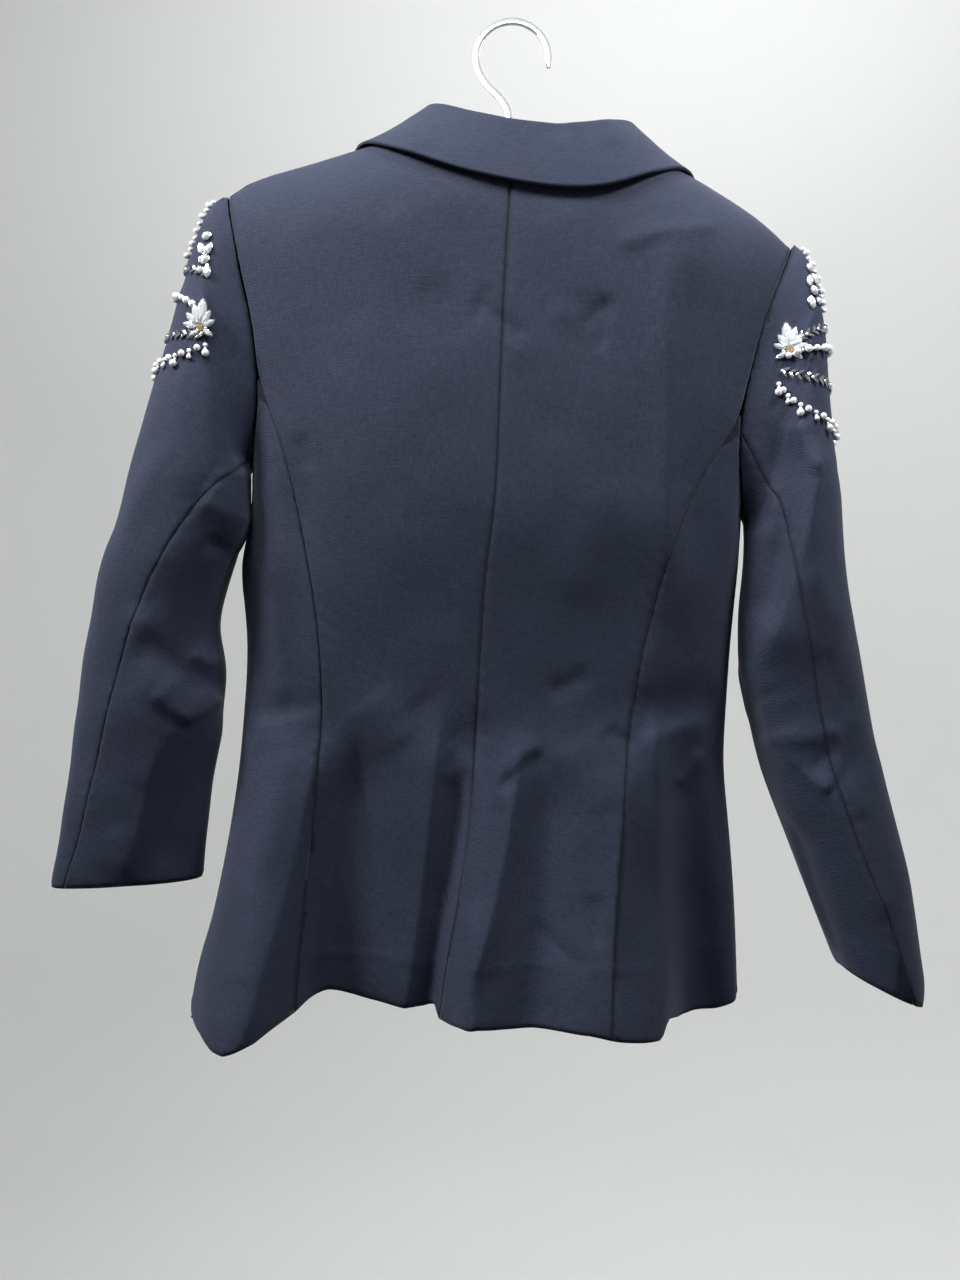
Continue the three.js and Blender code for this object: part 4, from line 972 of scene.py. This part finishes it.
def flower(store, surface, angle, z):
    found = surface.at(angle, z)
    if not found:
        return
    centre, normal = found
    up = Vector((0, 0, 1))
    outward = Vector((surface.away, 0, 0))
    outward = (outward - normal * outward.dot(normal)).normalized()
    for turn, length in PETALS:
        lean = up * math.cos(math.radians(turn)) + outward * math.sin(math.radians(turn))
        lean = (lean - normal * lean.dot(normal)).normalized()
        half = length / 2
        middle = centre + lean * (half + 2.2) + normal * 0.6
        size = (half, half * 0.42, 2.4)
        store.stamp("settings", "marquise_cup", middle - normal * 0.4, normal, lean, size)
        store.stamp("crystals", "marquise", middle, normal, lean, size)
    store.stamp("settings", "round_cup", centre, normal, up, (2.4, 2.4, 2.6))
    store.stamp("stones", "round", centre + normal * 0.5, normal, up, (2.4, 2.4, 2.6))
    for k in range(6):
        turn = math.radians(60 * k + 20)
        lean = up * math.cos(turn) + outward * math.sin(turn)
        pearl_on(store, centre + lean * 4.2 + normal * 0.6, normal, SEED)


def head_chain(store, surface, side, mirror):
    """A wavy chain of pearls below the sleeve head."""
    a1, z1, a2, z2 = HEAD_CHAIN[side]

    def route(t):
        return mirror * (a1 + (a2 - a1) * t + 7 * math.sin(t * 9)), z1 + (z2 - z1) * t

    for k, (place, normal, _) in enumerate(surface.spaced(route, CHAIN_PITCH)):
        pearl_on(store, place, normal, 2.3 if k % 2 else SMALL_PEARL)


def bead_sleeve(side):
    surface = SleeveSurface(side)
    store = BeadStore()
    makers = {"leaf": leaf_row, "pearl": pearl_row, "double": double_row}
    for row in BEAD_ROWS[side]:
        makers[row[0]](store, surface, row)
    angle, z = FLOWERS[side]
    for mirror in (1, -1):
        flower(store, surface, mirror * angle, z)
        for at_angle, at_z, half_length, half_width, turn, kind in STONES[side]:
            turned = turn if mirror > 0 else 180 - turn
            stone(store, surface, mirror * at_angle, at_z, half_length, half_width, turned, kind)
        head_chain(store, surface, side, mirror)
    kinds = {"pearls": pearl, "leaves": silver, "crystals": crystal, "stones": gold, "settings": silver}
    return store.build(side, kinds)


beads = {side: bead_sleeve(side) for side in SIDES}

# Hanger and button
plastic = plastic_material()
horn = horn_material()
for name, material in (("hanger", plastic), ("button", horn)):
    nodes[name].data.materials.clear()
    nodes[name].data.materials.append(material)

# Stage: a round pale sweep, seen alike from all sides
SWEEP = [(0, -2.1), (1.4, -2.1), (1.8, -2.05), (2.1, -1.9), (2.28, -1.66), (2.35, -1.3), (2.35, 1.9)]
SWEEP_SIDES = 96
sweep_verts = [
    (r * math.cos(2 * math.pi * k / SWEEP_SIDES), r * math.sin(2 * math.pi * k / SWEEP_SIDES), z)
    for r, z in SWEEP[1:]
    for k in range(SWEEP_SIDES)
]
sweep_faces = [list(range(SWEEP_SIDES))]
for i in range(len(SWEEP) - 2):
    for k in range(SWEEP_SIDES):
        n = (k + 1) % SWEEP_SIDES
        a, b = i * SWEEP_SIDES, (i + 1) * SWEEP_SIDES
        sweep_faces.append([a + k, a + n, b + n, b + k])
sweep_mesh = bpy.data.meshes.new("sweep")
sweep_mesh.from_pydata(sweep_verts, [], sweep_faces)
for polygon in sweep_mesh.polygons:
    polygon.use_smooth = True
sweep = bpy.data.objects.new("sweep", sweep_mesh)
bpy.context.scene.collection.objects.link(sweep)
wall_material, _, wall_shader = new_material("pale_wall")
wall_shader.inputs["Base Color"].default_value = (0.80, 0.81, 0.80, 1)
wall_shader.inputs["Roughness"].default_value = 0.9
sweep_mesh.materials.append(wall_material)

world = bpy.data.worlds.new("world")
world.use_nodes = True
world.node_tree.nodes["Background"].inputs["Color"].default_value = (0.92, 0.95, 1.0, 1)
world.node_tree.nodes["Background"].inputs["Strength"].default_value = 0.10
bpy.context.scene.world = world

# Lights: place, what they point at, size, power, and spread of the beam in degrees
LIGHTS = [
    ("key", (-0.26, -0.34, 0.32), (0.0, 0, -0.18), 0.24, 5.8, 180),
    ("window", (-1.15, -0.52, 0.72), (0.0, 0, -0.38), 0.35, 13.5, 90),
    ("right", (0.46, -0.34, 0.34), (0.20, 0, -0.24), 0.20, 4, 100),
    ("front", (0.4, 1.3, 0.6), (0, 0, -0.4), 1.0, 9, 180),
    ("wall", (0.3, 0.9, 1.5), (0.3, 2.3, 0.3), 1.2, 19, 150),
    ("ceiling", (0, 0.2, 2.4), (0, 0, -1), 3.0, 6, 180),
]
for name, place, target, size, power, spread in LIGHTS:
    data = bpy.data.lights.new(name, "AREA")
    data.size = size
    data.energy = power
    data.spread = math.radians(spread)
    lamp = bpy.data.objects.new(name, data)
    lamp.location = place
    lamp.visible_camera = False
    aim = Vector(target) - Vector(place)
    lamp.rotation_euler = aim.to_track_quat("-Z", "Y").to_euler()
    bpy.context.scene.collection.objects.link(lamp)

bpy.context.scene.view_settings.view_transform = "Standard"
